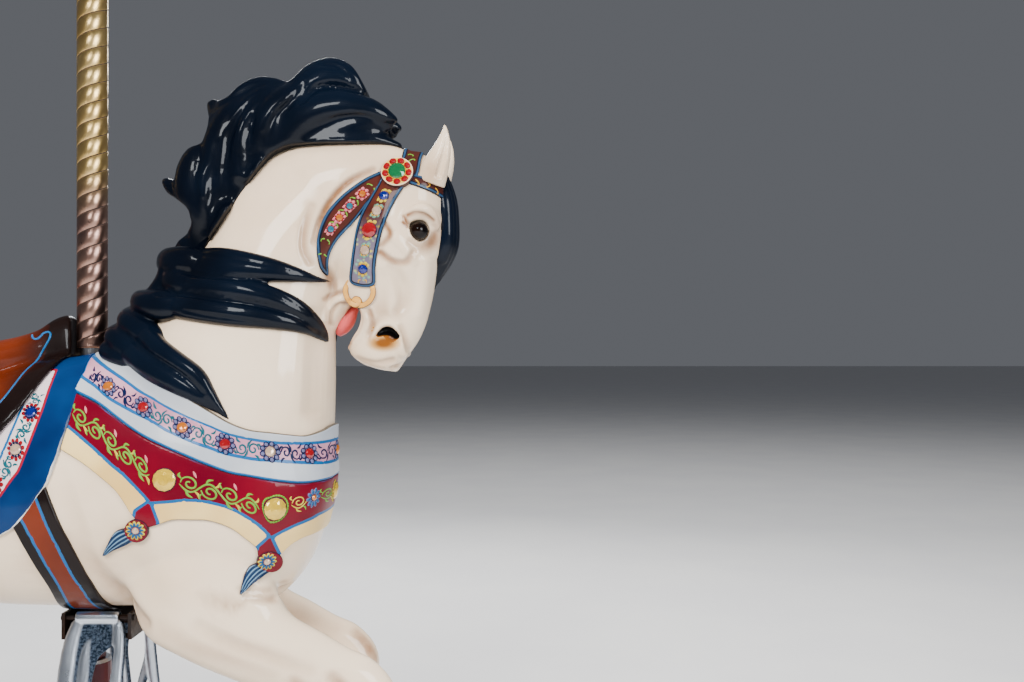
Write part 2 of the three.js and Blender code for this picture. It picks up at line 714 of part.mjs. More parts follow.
function guideBush() {
  const bore = ROD_R + SEAT_GAP;
  const inner = TUBE_R - TUBE_WALL - SEAT_GAP;
  return lathe([
    [bore, TUBE_TOP - 60], [inner, TUBE_TOP - 60], [inner, TUBE_TOP + SEAT_GAP], [TUBE_R, TUBE_TOP + SEAT_GAP],
    [TUBE_R - 2, TUBE_TOP + 6], [bore, TUBE_TOP + 6], [bore, TUBE_TOP - 60],
  ], BORE_SIDES);
}

function floorFlange() {
  const boss = TUBE_R + 8;
  return lathe([
    [0, 0], [FLANGE_R, 0], [FLANGE_R, FLANGE_T - 4], [FLANGE_R - 3, FLANGE_T], [boss, FLANGE_T],
    [boss - 2, FLANGE_T + 12], [TUBE_R + SEAT_GAP, FLANGE_T + 12], [TUBE_R + SEAT_GAP, FLANGE_T], [0, FLANGE_T],
  ], BORE_SIDES);
}

function hangerEye() {
  const socket = cylinderAt(vec(0, 0, POLE_TOP - 22), vec(0, 0, 1), CORE_R + 8, 44);
  const eyeBody = cylinderAt(vec(0, 0, EYE_Z), vec(0, 1, 0), EYE_R, EYE_W);
  const hole = cylinderAt(vec(0, 0, EYE_Z), vec(0, 1, 0), EYE_BORE, EYE_W + 10);
  const seat = cylinderAt(vec(0, 0, POLE_TOP - 50), vec(0, 0, 1), CORE_R + SEAT_GAP, 100 + 2 * SEAT_GAP);
  const above = SLEEVE_TOP + SEAT_GAP;
  const keep = boxAt([-80, -80, above], [80, 80, EYE_Z + 80]);
  return largest(cut(socket.add(eyeBody), hole, seat).intersect(keep));
}

// The bracket clamps the pole under the belly. It carries a fore-and-aft pin on each side, and a
// stop bar under each pin that the foot rest leans on.
function bellyBracket() {
  const top = BELLY_Z - SEAT_GAP;
  const low = SHOULDER_Z + SEAT_GAP;
  const clamp = cylinderAt(vec(0, 0, (top + low) / 2), vec(0, 0, 1), CORE_R + 13, top - low);
  const arms = [-1, 1].map((end) => boxAt(
    [BRACKET_X + end * BRACKET_ARM - ARM_T, -PIVOT_Y - 9, PIVOT_Z - STOP_DROP - 5],
    [BRACKET_X + end * BRACKET_ARM + ARM_T, PIVOT_Y + 9, PIVOT_Z + 9]));
  const bridge = boxAt(
    [BRACKET_X - BRACKET_ARM, -14, PIVOT_Z - 10], [BRACKET_X + BRACKET_ARM, 14, PIVOT_Z + 9]);
  const leanOn = -REST_T - SEAT_GAP;
  const stops = [-1, 1].map((side) => boxAt(
    [-BRACKET_ARM, leanOn - 9, -STOP_DROP - 4], [BRACKET_ARM, leanOn, -STOP_DROP + 4])
    .rotate([REST_SPLAY, 0, side > 0 ? 0 : 180])
    .translate([BRACKET_X, side * PIVOT_Y, PIVOT_Z]));
  const pins = [-1, 1].map((side) => cylinderAt(
    vec(BRACKET_X, side * PIVOT_Y, PIVOT_Z), vec(1, 0, 0), PIN_R, PIN_LENGTH, 16));
  const whole = union([clamp, bridge, ...arms, ...stops, ...pins]);
  const rodSpace = cylinderAt(vec(0, 0, SHOULDER_Z - 60), vec(0, 0, 1), ROD_R + 1, 120);
  return largest(cut(whole, poleBore(CORE_R + SEAT_GAP), rodSpace, forehand(SEAT_GAP)));
}

// A cast foot rest: a hub on the pin, two legs that spread, a high step and a low step.
function footRest(side) {
  const down = (outline) => outline.map(([x, drop]) => [x, -drop]);
  const hub = cylinderAt(vec(0, 0, 0), vec(1, 0, 0), HUB_R, 2 * REST_TOP_HALF, 16);
  const casting = plate(down(REST_OUTLINE), -REST_T, REST_T);
  const windows = REST_WINDOWS.map((outline) => plate(down(outline), -WIDE, WIDE));
  const treads = STEP_TREADS.map(({ drop, half, deep }) => boxAt(
    [-half, -deep, -drop - 6], [half, deep, -drop + 6]));
  const bore = cylinderAt(vec(0, 0, 0), vec(1, 0, 0), PIN_R + SEAT_GAP, WIDE, 16);
  const above = boxAt([-WIDE, -WIDE, HUB_R], [WIDE, WIDE, WIDE]);
  return largest(cut(union([hub, cut(casting, ...windows), ...treads]), bore, above)
    .rotate([side * REST_SPLAY, 0, 0])
    .translate([BRACKET_X, side * PIVOT_Y, PIVOT_Z]));
}

// The scene graph.
const carouselHorse = new THREE.Group();
const paints = new Map(Object.entries(PAINT).map(([name, look]) => [name, new THREE.MeshStandardMaterial(look)]));

function add(name, paint, solid) {
  const mesh = new THREE.Mesh(geometryOf(solid), paints.get(paint));
  mesh.name = name;
  carouselHorse.add(mesh);
}

add("floor_flange", "iron", floorFlange());
add("floor_tube", "maroon", floorTube());
add("guide_bush", "steel", guideBush());
add("lower_rod", "maroon", lowerRod());
add("pole", "steel", pole());
add("brass_sleeve", "brass", brassSleeve());
add("hanger_eye", "steel", hangerEye());

add("trunk", "enamel", trunkNode());
add("neck", "enamel", neckNode());
add("head", "enamel", headNode());
add("tongue", "pink", largest(cut(limb(TONGUE), head(SEAT_GAP))));
add("right_foreleg", "enamel", legNode(rightForeleg));
add("left_foreleg", "enamel", legNode(leftForeleg));
add("right_hind_leg", "enamel", legNode(rightHindLeg));
add("left_hind_leg", "enamel", legNode(leftHindLeg));

const trailing = ([x, y, z], trail, drop) => [x + trail, -y, z - drop];
add("right_fore_hoof", "hoof", hoof(FORE_CORONET, FORE_HOOF_DROP, rightForeleg));
add("left_fore_hoof", "hoof", hoof(trailing(FORE_CORONET, FORE_TRAIL, LEG_DROP), FORE_HOOF_DROP, leftForeleg));
add("right_hind_hoof", "hoof", hoof(HIND_CORONET, HIND_HOOF_DROP, rightHindLeg));
add("left_hind_hoof", "hoof", hoof(trailing(HIND_CORONET, HIND_TRAIL, 0), HIND_HOOF_DROP, leftHindLeg));

const hindQuarters = [trunk(SEAT_GAP), rightHindLeg(SEAT_GAP), leftHindLeg(SEAT_GAP)];
add("tail", "black", largest(cut(limb(TAIL), ...hindQuarters)));
add("mane_crest", "black", maneCrest());
add("forelock", "black", largest(cut(limb(FORELOCK), head(SEAT_GAP), straps(SEAT_GAP), ear(1, SEAT_GAP),
  ear(-1, SEAT_GAP))));

add("saddle", "brown", saddle());
add("saddle_cloth", "blue", saddleCloth());
add("girth", "brown", girth());
add("breast_collar", "band", collar());
add("breast_apron", "crimson", apron());
add("bridle", "brown", bridle());
add("belly_bracket", "cast", bellyBracket());

for (const [side, name] of [[-1, "right"], [1, "left"]]) {
  add(`${name}_ear`, "enamel", largest(cut(ear(side), head(SEAT_GAP))));
  add(`${name}_eye`, "glass", largest(eye(side)));
  add(`${name}_mane_lock`, "black", maneLock(side, UPPER_LOCK));
  add(`${name}_shoulder_lock`, "black", maneLock(side, SHOULDER_LOCK));
  add(`${name}_front_tassel`, "tassel", tassel(side, TASSELS.front));
  add(`${name}_rear_tassel`, "tassel", tassel(side, TASSELS.rear));
  add(`${name}_rosette`, "jewel", rosette(side));
  add(`${name}_bit_ring`, "brass", largest(cut(bitRing(side), head(SEAT_GAP))));
  add(`${name}_foot_rest`, "cast", footRest(side));
}

export default carouselHorse;
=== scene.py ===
import math

import bpy
import numpy as np
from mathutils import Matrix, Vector
from mathutils.bvhtree import BVHTree


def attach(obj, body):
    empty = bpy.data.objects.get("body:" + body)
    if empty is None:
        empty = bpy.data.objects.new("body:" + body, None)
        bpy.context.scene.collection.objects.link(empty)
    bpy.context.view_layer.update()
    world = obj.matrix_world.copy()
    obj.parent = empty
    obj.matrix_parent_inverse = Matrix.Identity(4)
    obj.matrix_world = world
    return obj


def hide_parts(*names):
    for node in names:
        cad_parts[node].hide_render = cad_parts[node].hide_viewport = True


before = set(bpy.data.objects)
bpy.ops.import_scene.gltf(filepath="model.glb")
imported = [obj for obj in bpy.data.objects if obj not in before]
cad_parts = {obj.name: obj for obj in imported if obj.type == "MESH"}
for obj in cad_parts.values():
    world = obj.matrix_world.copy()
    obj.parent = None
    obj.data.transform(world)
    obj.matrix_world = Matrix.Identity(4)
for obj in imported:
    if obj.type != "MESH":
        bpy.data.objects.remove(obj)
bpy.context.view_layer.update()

# A carved and painted jumping horse on its twisted brass pole. Tables are in millimetres, in the
# frame of the part: +X the way the horse faces, +Z up, the public's side towards -Y.

MM = 0.001
RIGHT, LEFT = -1, 1
SIDES = (RIGHT, "right"), (LEFT, "left")


# Camera and light.

PICTURE_WIDTH, HORIZON_BELOW_MIDDLE = 1024, 9
LAMPS = (
    # name, place, where it points, size, watts, tint, and whether gloss shows it
    ("key_light", (-0.6, -3.2, 2.9), (0.2, 0, 0.95), (1.9, 1.5), 270, (1.0, 0.97, 0.92), False),
    ("window_light", (-0.1, -3.6, 2.8), (0.2, 0, 0.95), (0.9, 0.8), 45, (0.95, 0.98, 1.0), True),
    ("front_light", (2.9, -2.2, 1.9), (0.3, 0, 0.9), (1.3, 1.8), 110, (0.94, 0.97, 1.0), True),
    ("rim_light", (0.8, 2.8, 2.7), (0.1, 0, 1.1), (1.8, 1.2), 125, (1.0, 0.97, 0.93), False),
    ("back_window_light", (-0.5, 3.4, 2.6), (0.1, 0, 0.95), (0.9, 0.8), 40, (0.95, 0.98, 1.0), True),
    ("top_light", (0.6, 1.5, 6.5), (0.6, 1.5, 0), (8, 8), 700, (1, 1, 1), False),
)


def placed(name, data):
    """A new object in the scene."""
    thing = bpy.data.objects.new(name, data)
    bpy.context.scene.collection.objects.link(thing)
    return thing


def set_camera():
    data = bpy.data.cameras.new("camera")
    data.lens, data.sensor_width = 35, 36
    data.shift_y = HORIZON_BELOW_MIDDLE / PICTURE_WIDTH
    data.clip_start = 0.05
    camera = placed("camera", data)
    camera.location = (0.7346, -1.743, 1.0)
    camera.rotation_euler = (math.radians(90), 0, 0)
    bpy.context.scene.camera = camera


def light_studio():
    for name, place, target, size, watts, tint, in_gloss in LAMPS:
        data = bpy.data.lights.new(name, "AREA")
        data.shape = "RECTANGLE"
        data.size, data.size_y = size
        data.energy = watts
        data.color = tint
        lamp = placed(name, data)
        lamp.location = place
        lamp.rotation_euler = (Vector(target) - Vector(place)).to_track_quat("-Z", "Y").to_euler()
        lamp.visible_glossy = in_gloss
    world = bpy.data.worlds.new("studio")
    bpy.context.scene.world = world
    world.use_nodes = True
    background = world.node_tree.nodes["Background"]
    background.inputs["Color"].default_value = (0.86, 0.9, 1.0, 1)
    background.inputs["Strength"].default_value = 0.14


# Shader expressions: a Value wraps a socket, and arithmetic on Values adds Math nodes.

class Value:
    def __init__(self, paint, socket):
        self.paint = paint
        self.socket = socket

    def maths(self, operation, *others):
        return self.paint.node("ShaderNodeMath", {"operation": operation}, {
            i: other for i, other in enumerate((self, *others))})

    def __add__(self, other):
        return self.maths("ADD", other)

    def __sub__(self, other):
        return self.maths("SUBTRACT", other)

    def __mul__(self, other):
        return self.maths("MULTIPLY", other)

    def __rsub__(self, other):
        return (self * -1) + other

    __radd__ = __add__
    __rmul__ = __mul__

    def size(self):
        return self.maths("ABSOLUTE")

    def least(self, other):
        return self.maths("MINIMUM", other)

    def most(self, other):
        return self.maths("MAXIMUM", other)

    def ramp(self, low, high):
        return self.paint.node("ShaderNodeMapRange", {"interpolation_type": "SMOOTHSTEP"}, {
            "Value": self, "From Min": low, "From Max": high, "To Min": 0.0, "To Max": 1.0})


class Paint:
    """A material that is built up from its node tree."""

    def __init__(self, name, **constants):
        self.material = bpy.data.materials.new(name)
        self.material.use_nodes = True
        self.tree = self.material.node_tree
        self.shader = self.tree.nodes["Principled BSDF"]
        for socket, value in constants.items():
            self.shader.inputs[socket.replace("_", " ")].default_value = value

    def node(self, kind, settings=None, inputs=None, out=0):
        made = self.tree.nodes.new(kind)
        for key, value in (settings or {}).items():
            if key == "stops":
                ramp = made.color_ramp
                ramp.interpolation = "CONSTANT"
                while len(ramp.elements) < len(value):
                    ramp.elements.new(0.5)
                for element, (place, colour) in zip(ramp.elements, value):
                    element.position = place
                    element.color = (*colour, 1)
            else:
                setattr(made, key, value)
        for key, value in (inputs or {}).items():
            socket = made.inputs[key]
            if isinstance(value, Value):
                self.tree.links.new(value.socket, socket)
            else:
                socket.default_value = value
        return Value(self, made.outputs[out])

    def place(self):
        """The point on the surface, in metres, with the row frame's axes."""
        return self.node("ShaderNodeTexCoord", out="Object")

    def field(self, name):
        return self.node("ShaderNodeAttribute", {"attribute_name": name}, out="Fac")

    def noise(self, scale, detail=3.0, rough=0.55, stretch=(1, 1, 1)):
        spot = self.node("ShaderNodeMapping", {}, {"Vector": self.place(), "Scale": stretch})
        return self.node("ShaderNodeTexNoise", {}, {
            "Vector": spot, "Scale": scale, "Detail": detail, "Roughness": rough})

    def cells(self, scale):
        """Distance to the middle of the nearest cell."""
        return self.node("ShaderNodeTexVoronoi", {"feature": "F1"}, {
            "Vector": self.place(), "Scale": scale}, "Distance")

    def mix(self, share, one, two):
        """Two colours mixed: share 0 gives the first, 1 the second."""
        as_colour = lambda c: c if isinstance(c, Value) else (*c, 1)
        return self.node("ShaderNodeMix", {"data_type": "RGBA"}, {
            0: share, 6: as_colour(one), 7: as_colour(two)}, out=2)

    def mottled(self, one, two, scale, detail=3, high=0.7, stretch=(1, 1, 1)):
        """Two colours that change over in soft clouds."""
        return self.mix(self.noise(scale, detail, stretch=stretch).ramp(0.3, high), one, two)

    def wear(self, **links):
        """Links varying values to the shader's sockets."""
        for socket, value in links.items():
            self.tree.links.new(value.socket, self.shader.inputs[socket.replace("_", " ")])

    def bump(self, height, distance):
        raised = self.node("ShaderNodeBump", {}, {"Height": height, "Distance": distance, "Strength": 1.0})
        self.wear(Normal=raised)


# Curves and outlines.

def smoothed(rows, steps, closed=False):
    """Rows of numbers with more rows between them, on a smooth path through the given ones."""
    rows = np.asarray(rows, float)
    count = len(rows)
    spans = count if closed else count - 1
    t = np.arange(steps)[:, None] / steps
    out = []
    for i in range(spans):
        if closed:
            a, b, c, d = (rows[(i + k) % count] for k in (-1, 0, 1, 2))
        else:
            a, b, c, d = (rows[min(max(i + k, 0), count - 1)] for k in (-1, 0, 1, 2))
        out.append(b + 0.5 * t * (c - a + t * (2 * a - 5 * b + 4 * c - d + t * (3 * b - a - 3 * c + d))))
    if not closed:
        out.append(rows[-1:])
    return np.vstack(out)


def along_path(points, path):
    """Distance of each 2D point from a polyline, and the polyline's further columns there."""
    path = np.asarray(path, float)
    best = np.full(len(points), np.inf)
    extra = np.zeros((len(points), path.shape[1] - 2))
    for a, b in zip(path[:-1], path[1:]):
        step = b[:2] - a[:2]
        t = np.clip(((points - a[:2]) @ step) / max(step @ step, 1e-9), 0, 1)
        away = np.linalg.norm(points - (a[:2] + t[:, None] * step), axis=1)
        near = away < best
        best[near] = away[near]
        extra[near] = (a[2:] + t[near, None] * (b - a)[2:])
    return best, extra


def inside(points, outline):
    """Signed distance to a closed outline: positive within it."""
    outline = np.asarray(outline, float)
    ring = np.vstack([outline, outline[:1]])
    away, _ = along_path(points, ring)
    crossings = np.zeros(len(points), bool)
    for (ax, az), (bx, bz) in zip(ring[:-1], ring[1:]):
        if az == bz:
            continue
        spans = (az > points[:, 1]) != (bz > points[:, 1])
        at = ax + (points[:, 1] - az) / (bz - az) * (bx - ax)
        crossings ^= spans & (points[:, 0] < at)
    return np.where(crossings, away, -away)


def bell(share):
    """1 at share 0, falling smoothly to 0 at share 1."""
    share = np.clip(share, 0, 1)
    return (1 - share * share) ** 2


# Surfaces.

class Surface:
    """A mesh of quads or triangles, in millimetres, with values kept per point."""

    def __init__(self, points, faces, fields=None):
        self.points = np.asarray(points, float)
        self.faces = np.asarray(faces, int)
        self.fields = dict(fields or {})

    def normals(self):
        p, f = self.points, self.faces
        across = np.cross(p[f[:, 2]] - p[f[:, 0]], p[f[:, -1]] - p[f[:, 1]])
        total = np.zeros_like(p)
        for k in range(f.shape[1]):
            for axis in range(3):
                total[:, axis] += np.bincount(f[:, k], across[:, axis], len(p))
        return total / np.maximum(np.linalg.norm(total, axis=1, keepdims=True), 1e-12)

    def sides(self):
        """The directed edges of all faces."""
        f = self.faces
        return np.vstack([f[:, [k, (k + 1) % f.shape[1]]] for k in range(f.shape[1])])

    def links(self):
        """Each edge once."""
        return np.unique(np.sort(self.sides(), axis=1), axis=0)

    def relax(self, rounds, share=0.5, weight=None):
        """Moves each point towards the mean of its neighbours."""
        ends = self.links()
        a, b = ends[:, 0], ends[:, 1]
        count = len(self.points)
        degree = np.maximum(np.bincount(a, minlength=count) + np.bincount(b, minlength=count), 1)
        amount = share if weight is None else share * weight[:, None]
        for _ in range(rounds):
            p = self.points
            mean = np.stack([
                np.bincount(a, p[b, axis], count) + np.bincount(b, p[a, axis], count) for axis in range(3)
            ], axis=1) / degree[:, None]
            self.points = p + amount * (mean - p)
        return self

    def polish(self, rounds):
        """Smooths without shrinking."""
        for _ in range(rounds):
            self.relax(1, 0.5)
            self.relax(1, -0.53)
        return self

    def carve(self, strokes, view="side", shade_reach=1.5):
        """Presses or raises strokes of a gouge. A stroke's rows are [across, up, reach, height,
        brown]: the first two are x, z in the side view or y, z in the front view."""
        axes, facing = {"side": ((0, 2), 1), "front": ((1, 2), 0), "top": ((0, 1), 2)}[view]
        shade = self.fields.setdefault("brown", np.zeros(len(self.points)))
        for stroke in strokes:
            path = smoothed(stroke, 6)
            flat = self.points[:, axes]
            reach = path[:, 2].max() * shade_reach
            low, high = path[:, :2].min(0) - reach, path[:, :2].max(0) + reach
            near = np.where(((flat > low) & (flat < high)).all(1))[0]
            if not len(near):
                continue
            away, extra = along_path(flat[near], path)
            normal = self.normals()[near]
            turned = np.abs(normal[:, facing]) if view == "side" else normal[:, facing]
            seen = np.clip((turned - 0.05) / 0.35, 0, 1)
            self.points[near] += normal * (extra[:, 1] * bell(away / extra[:, 0]) * seen)[:, None]
            stain = extra[:, 2] * bell(away / (extra[:, 0] * shade_reach)) * seen
            shade[near] = np.maximum(shade[near], stain)
        return self

    def triangles(self):
        if self.faces.shape[1] == 4:
            f = self.faces
            self.faces = np.vstack([f[:, [0, 1, 2]], f[:, [0, 2, 3]]])
        return self

    def finer(self):
        """Each triangle becomes four."""
        f = self.triangles().faces
        ends = self.links()
        code = ends[:, 0] * len(self.points) + ends[:, 1]
        middle = len(self.points) + np.arange(len(ends))

        def between(a, b):
            key = np.minimum(a, b) * len(self.points) + np.maximum(a, b)
            return middle[np.searchsorted(code, key)]

        ab, bc, ca = between(f[:, 0], f[:, 1]), between(f[:, 1], f[:, 2]), between(f[:, 2], f[:, 0])
        faces = np.vstack([
            np.stack(t, 1) for t in ((f[:, 0], ab, ca), (ab, f[:, 1], bc), (ca, bc, f[:, 2]), (ab, bc, ca))])
        half = lambda v: np.concatenate([v, (v[ends[:, 0]] + v[ends[:, 1]]) / 2])
        fields = {name: half(v) for name, v in self.fields.items()}
        return Surface(half(self.points), faces, fields)

    def part(self, keep):
        """The faces that keep picks, with only their own points."""
        faces = self.faces[keep]
        used, back = np.unique(faces, return_inverse=True)
        fields = {name: v[used] for name, v in self.fields.items()}
        return Surface(self.points[used], back.reshape(faces.shape), fields)

    def rim(self):
        """Directed edges that only one face has."""
        sides = self.sides()
        low, high = sides.min(1), sides.max(1)
        code = low * (len(self.points) + 1) + high
        _, first, count = np.unique(code, return_index=True, return_counts=True)
        return sides[first[count == 1]]

    def tree(self):
        return BVHTree.FromPolygons(self.points.tolist(), self.faces.tolist())


def joined(surfaces):
    """Several surfaces as one, with the fields that they share."""
    points, faces, start = [], [], 0
    for s in surfaces:
        points.append(s.points)
        faces.append(s.triangles().faces + start)
        start += len(s.points)
    shared = set.intersection(*(set(s.fields) for s in surfaces))
    fields = {name: np.concatenate([s.fields[name] for s in surfaces]) for name in shared}
    return Surface(np.vstack(points), np.vstack(faces), fields)


def shown(name, surface, material, slot, *replaces, body="horse", smooth=True, share=1.0):
    """Makes the piece of a surface with a share of its faces, and names its body and the nodes that it
    stands for; its slot is not used."""
    mesh = bpy.data.meshes.new(name)
    faces = surface.faces
    mesh.vertices.add(len(surface.points))
    mesh.vertices.foreach_set("co", (surface.points * MM).ravel())
    mesh.loops.add(faces.size)
    mesh.loops.foreach_set("vertex_index", faces.ravel())
    mesh.polygons.add(len(faces))
    mesh.polygons.foreach_set("loop_start", np.arange(len(faces)) * faces.shape[1])
    mesh.update(calc_edges=True)
    mesh.polygons.foreach_set("use_smooth", np.full(len(faces), smooth))
    for field, values in surface.fields.items():
        layer = mesh.attributes.new(field, "FLOAT", "POINT")
        layer.data.foreach_set("value", values.astype(np.float32))
    mesh.validate()
    piece = placed(name, mesh)
    if share < 1:
        thinner = piece.modifiers.new("thinner", "DECIMATE")
        thinner.ratio = share
        bpy.context.view_layer.update()
        graph = bpy.context.evaluated_depsgraph_get()
        piece.data = bpy.data.meshes.new_from_object(piece.evaluated_get(graph))
        piece.modifiers.clear()
        bpy.data.meshes.remove(mesh)
    piece.data.materials.append(material)
    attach(piece, body)
    if replaces:
        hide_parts(*replaces)


def rings_closed(rings):
    """A closed skin over rings of points, with a fan over each end."""
    count, sides = rings.shape[:2]
    points = rings.reshape(-1, 3)
    grid = np.arange(count * sides).reshape(count, sides)
    a, b = grid[:-1], np.roll(grid, -1, axis=1)[:-1]
    c, d = np.roll(grid, -1, axis=1)[1:], grid[1:]
    faces = np.stack([a, b, c, d], -1).reshape(-1, 4)
    tips = np.stack([rings[0].mean(0), rings[-1].mean(0)])
    first, last = len(points), len(points) + 1
    start = [[first, grid[0][(k + 1) % sides], grid[0][k]] for k in range(sides)]
    end = [[last, grid[-1][k], grid[-1][(k + 1) % sides]] for k in range(sides)]
    quads = Surface(np.vstack([points, tips]), faces).triangles()
    surface = Surface(quads.points, np.vstack([quads.faces, start, end]))
    p, f = surface.points, surface.faces
    volume = np.einsum("ij,ij->i", p[f[:, 0]], np.cross(p[f[:, 1]], p[f[:, 2]])).sum()
    if volume < 0:
        surface.faces = f[:, ::-1]
    return surface


def oval(sides, power):
    angle = 2 * np.pi * (np.arange(sides) + 0.5) / sides
    bent = lambda v: np.sign(v) * np.abs(v) ** (2 / power)
    return bent(np.cos(angle)), bent(np.sin(angle))


def form(spans, sides=48, grow=0.0, power=2.2, steps=6):
    """A form through spans [x1, z1, x2, z2, half width, y] across it in the side view."""
    rows = smoothed(spans, steps)
    middle = np.stack([(rows[:, 0] + rows[:, 2]) / 2, rows[:, 5], (rows[:, 1] + rows[:, 3]) / 2], 1)
    deep = np.stack([rows[:, 2] - rows[:, 0], 0 * rows[:, 0], rows[:, 3] - rows[:, 1]], 1)
    reach = np.linalg.norm(deep, axis=1) / 2
    deep /= 2 * reach[:, None]
    run = np.gradient(middle, axis=0)
    run /= np.linalg.norm(run, axis=1, keepdims=True)
    middle[0] -= grow * run[0]
    middle[-1] += grow * run[-1]
    c, s = oval(sides, power)
    width = np.array([0, 1, 0])[None, None] * (c[None, :, None] * (rows[:, 4] + grow)[:, None, None])
    depth = deep[:, None] * (s[None, :, None] * (reach + grow)[:, None, None])
    return rings_closed(middle[:, None] + width + depth)


def limb(stations, sides=40, power=2.0, steps=6):
    """A limb through stations [x, y, z, half depth, half width]."""
    rows = smoothed(stations, steps)
    at = rows[:, :3]
    run = np.gradient(at, axis=0)
    run /= np.linalg.norm(run, axis=1, keepdims=True)
    across = np.array([0.0, 1, 0]) - run * run[:, 1:2]
    across /= np.linalg.norm(across, axis=1, keepdims=True)
    deep = np.cross(run, across)
    c, s = oval(sides, power)
    width = across[:, None] * (c[None, :, None] * rows[:, 4, None, None])
    depth = deep[:, None] * (s[None, :, None] * rows[:, 3, None, None])
    return rings_closed(at[:, None] + width + depth)


def other_side(stations, y_column):
    """The same stations with y turned over."""
    rows = np.array(stations, float)
    rows[:, y_column] *= -1
    return rows


def plate(outline, low, high):
    """A closed plate of an outline in the side view, from y = low to y = high."""
    flat = np.asarray(outline, float)
    if np.cross(flat, np.roll(flat, -1, axis=0)).sum() < 0:
        flat = flat[::-1]
    count = len(flat)
    near = np.stack([flat[:, 0], np.full(count, low), flat[:, 1]], 1)
    far = near + [0, high - low, 0]
    ring = list(range(count))
    sides = [(k, k + count, (k + 1) % count + count, (k + 1) % count) for k in ring]
    return np.vstack([near, far]), [tuple(ring), tuple(reversed([k + count for k in ring])), *sides]


def scratch(solid):
    """A solid as an object for Blender's modifiers."""
    points, faces = solid if isinstance(solid, tuple) else (solid.points, solid.faces.tolist())
    mesh = bpy.data.meshes.new("scratch")
    mesh.from_pydata((np.asarray(points, float) * MM).tolist(), [], faces)
    return placed("scratch", mesh)


def block(adds, cuts=(), within=(), voxel=4.0):
    """The solids of adds as one, less cuts and kept within others, cast anew with even faces."""
    things = [scratch(s) for s in adds]
    bpy.context.view_layer.update()
    bpy.ops.object.select_all(action="DESELECT")
    for thing in things:
        thing.select_set(True)
    whole = things[0]
    bpy.context.view_layer.objects.active = whole
    if len(things) > 1:
        bpy.ops.object.join()

    def remesh(size):
        maker = whole.modifiers.new("cast", "REMESH")
        maker.mode = "VOXEL"
        maker.voxel_size = size * MM

    remesh(voxel)
    tools = []
    for operation, solids in (("DIFFERENCE", cuts), ("INTERSECT", within)):
        for solid in solids:
            tool = scratch(solid)
            maker = whole.modifiers.new("tool", "BOOLEAN")
            maker.operation = operation
            maker.solver = "MANIFOLD"
            maker.object = tool
            tools.append(tool)
    if tools:
        remesh(voxel)
    bpy.context.view_layer.update()
    graph = bpy.context.evaluated_depsgraph_get()
    mesh = bpy.data.meshes.new_from_object(whole.evaluated_get(graph))
    points = np.zeros(len(mesh.vertices) * 3)
    mesh.vertices.foreach_get("co", points)
    corners = np.zeros(len(mesh.loops), int)
    mesh.loops.foreach_get("vertex_index", corners)
    for thing in (whole, *tools):
        data = thing.data
        bpy.data.objects.remove(thing)
        bpy.data.meshes.remove(data)
    bpy.data.meshes.remove(mesh)
    return Surface(points.reshape(-1, 3) / MM, corners.reshape(-1, 4))


# The horse's own form.

BELLY_Z = 558
TRUNK = [
    [-612, 775, -614, 835, 34, 0], [-600, 728, -598, 882, 82, 0], [-560, 682, -562, 914, 124, 0],
    [-480, 640, -480, 936, 154, 0], [-380, 608, -380, 943, 167, 0], [-260, 578, -260, 945, 166, 0],
    [-130, BELLY_Z + 4, -130, 958, 163, 0], [0, BELLY_Z, 0, 988, 161, 0], [110, BELLY_Z, 110, 1000, 160, 0],
    [220, BELLY_Z, 220, 975, 156, 0], [300, BELLY_Z + 2, 300, 935, 144, 0], [348, 588, 350, 905, 126, 0],
    [386, 640, 388, 872, 100, 0], [410, 712, 412, 840, 66, 0], [419, 762, 421, 806, 30, 0],
]
NECK = [
    [20, 930, 408, 700, 118, 0], [42, 978, 419, 790, 132, 0], [72, 1008, 422, 868, 136, 0],
    [112, 1046, 424, 950, 130, 0], [154, 1098, 424, 1030, 118, 0], [188, 1158, 427, 1092, 104, 0],
    [222, 1222, 442, 1132, 92, 0], [260, 1288, 474, 1160, 82, 0], [308, 1334, 502, 1190, 76, 0],
    [368, 1358, 524, 1224, 72, 0], [448, 1363, 545, 1262, 64, 0], [518, 1358, 562, 1300, 50, 0],
    [552, 1346, 574, 1324, 30, 0],
]
SKULL = [
    [542, 1342, 592, 1336, 28, 0], [508, 1322, 606, 1318, 50, 0], [474, 1290, 617, 1290, 63, 0],
    [448, 1248, 621, 1250, 71, 0], [430, 1200, 618, 1204, 75, 0], [423, 1152, 609, 1156, 71, 0],
    [427, 1112, 600, 1112, 60, 0], [438, 1078, 592, 1074, 51, 0], [450, 1048, 583, 1042, 48, 0],
    [450, 1016, 570, 1014, 47, 0], [453, 994, 553, 990, 44, 0], [474, 976, 541, 972, 36, 0],
    [504, 966, 534, 962, 20, 0],
]
LOWER_JAW = [
    [462, 0, 1128, 30, 44], [440, 0, 1092, 26, 42], [424, 0, 1062, 19, 36], [418, 0, 1042, 14, 30],
    [417, 0, 1032, 9, 20],
]
MOUTH = [
    [464, 1084], [476, 1062], [472, 1040], [460, 1022], [450, 1005], [446, 985], [424, 985], [432, 1014],
    [437, 1040], [446, 1064],
]
EAR = [
    [594, 40, 1286, 27, 22], [603, 44, 1310, 24, 20], [613, 49, 1334, 18, 15], [619, 53, 1356, 11, 9],
    [621, 55, 1374, 4.5, 4], [619, 56, 1383, 1.5, 1.5],
]
EAR_SCOOP = [
    [610, 64, 1290, 7, 9], [616, 67, 1312, 8, 11], [621, 67, 1334, 6, 9], [624, 63, 1354, 3.5, 5],
    [623, 61, 1368, 1.5, 2],
]
TONGUE = [
    [463, 0, 1074, 5, 8], [455, 0, 1065, 10, 15], [446, 0, 1051, 14, 19], [437, 0, 1037, 12, 16],
    [430, 0, 1026, 5, 6],
]
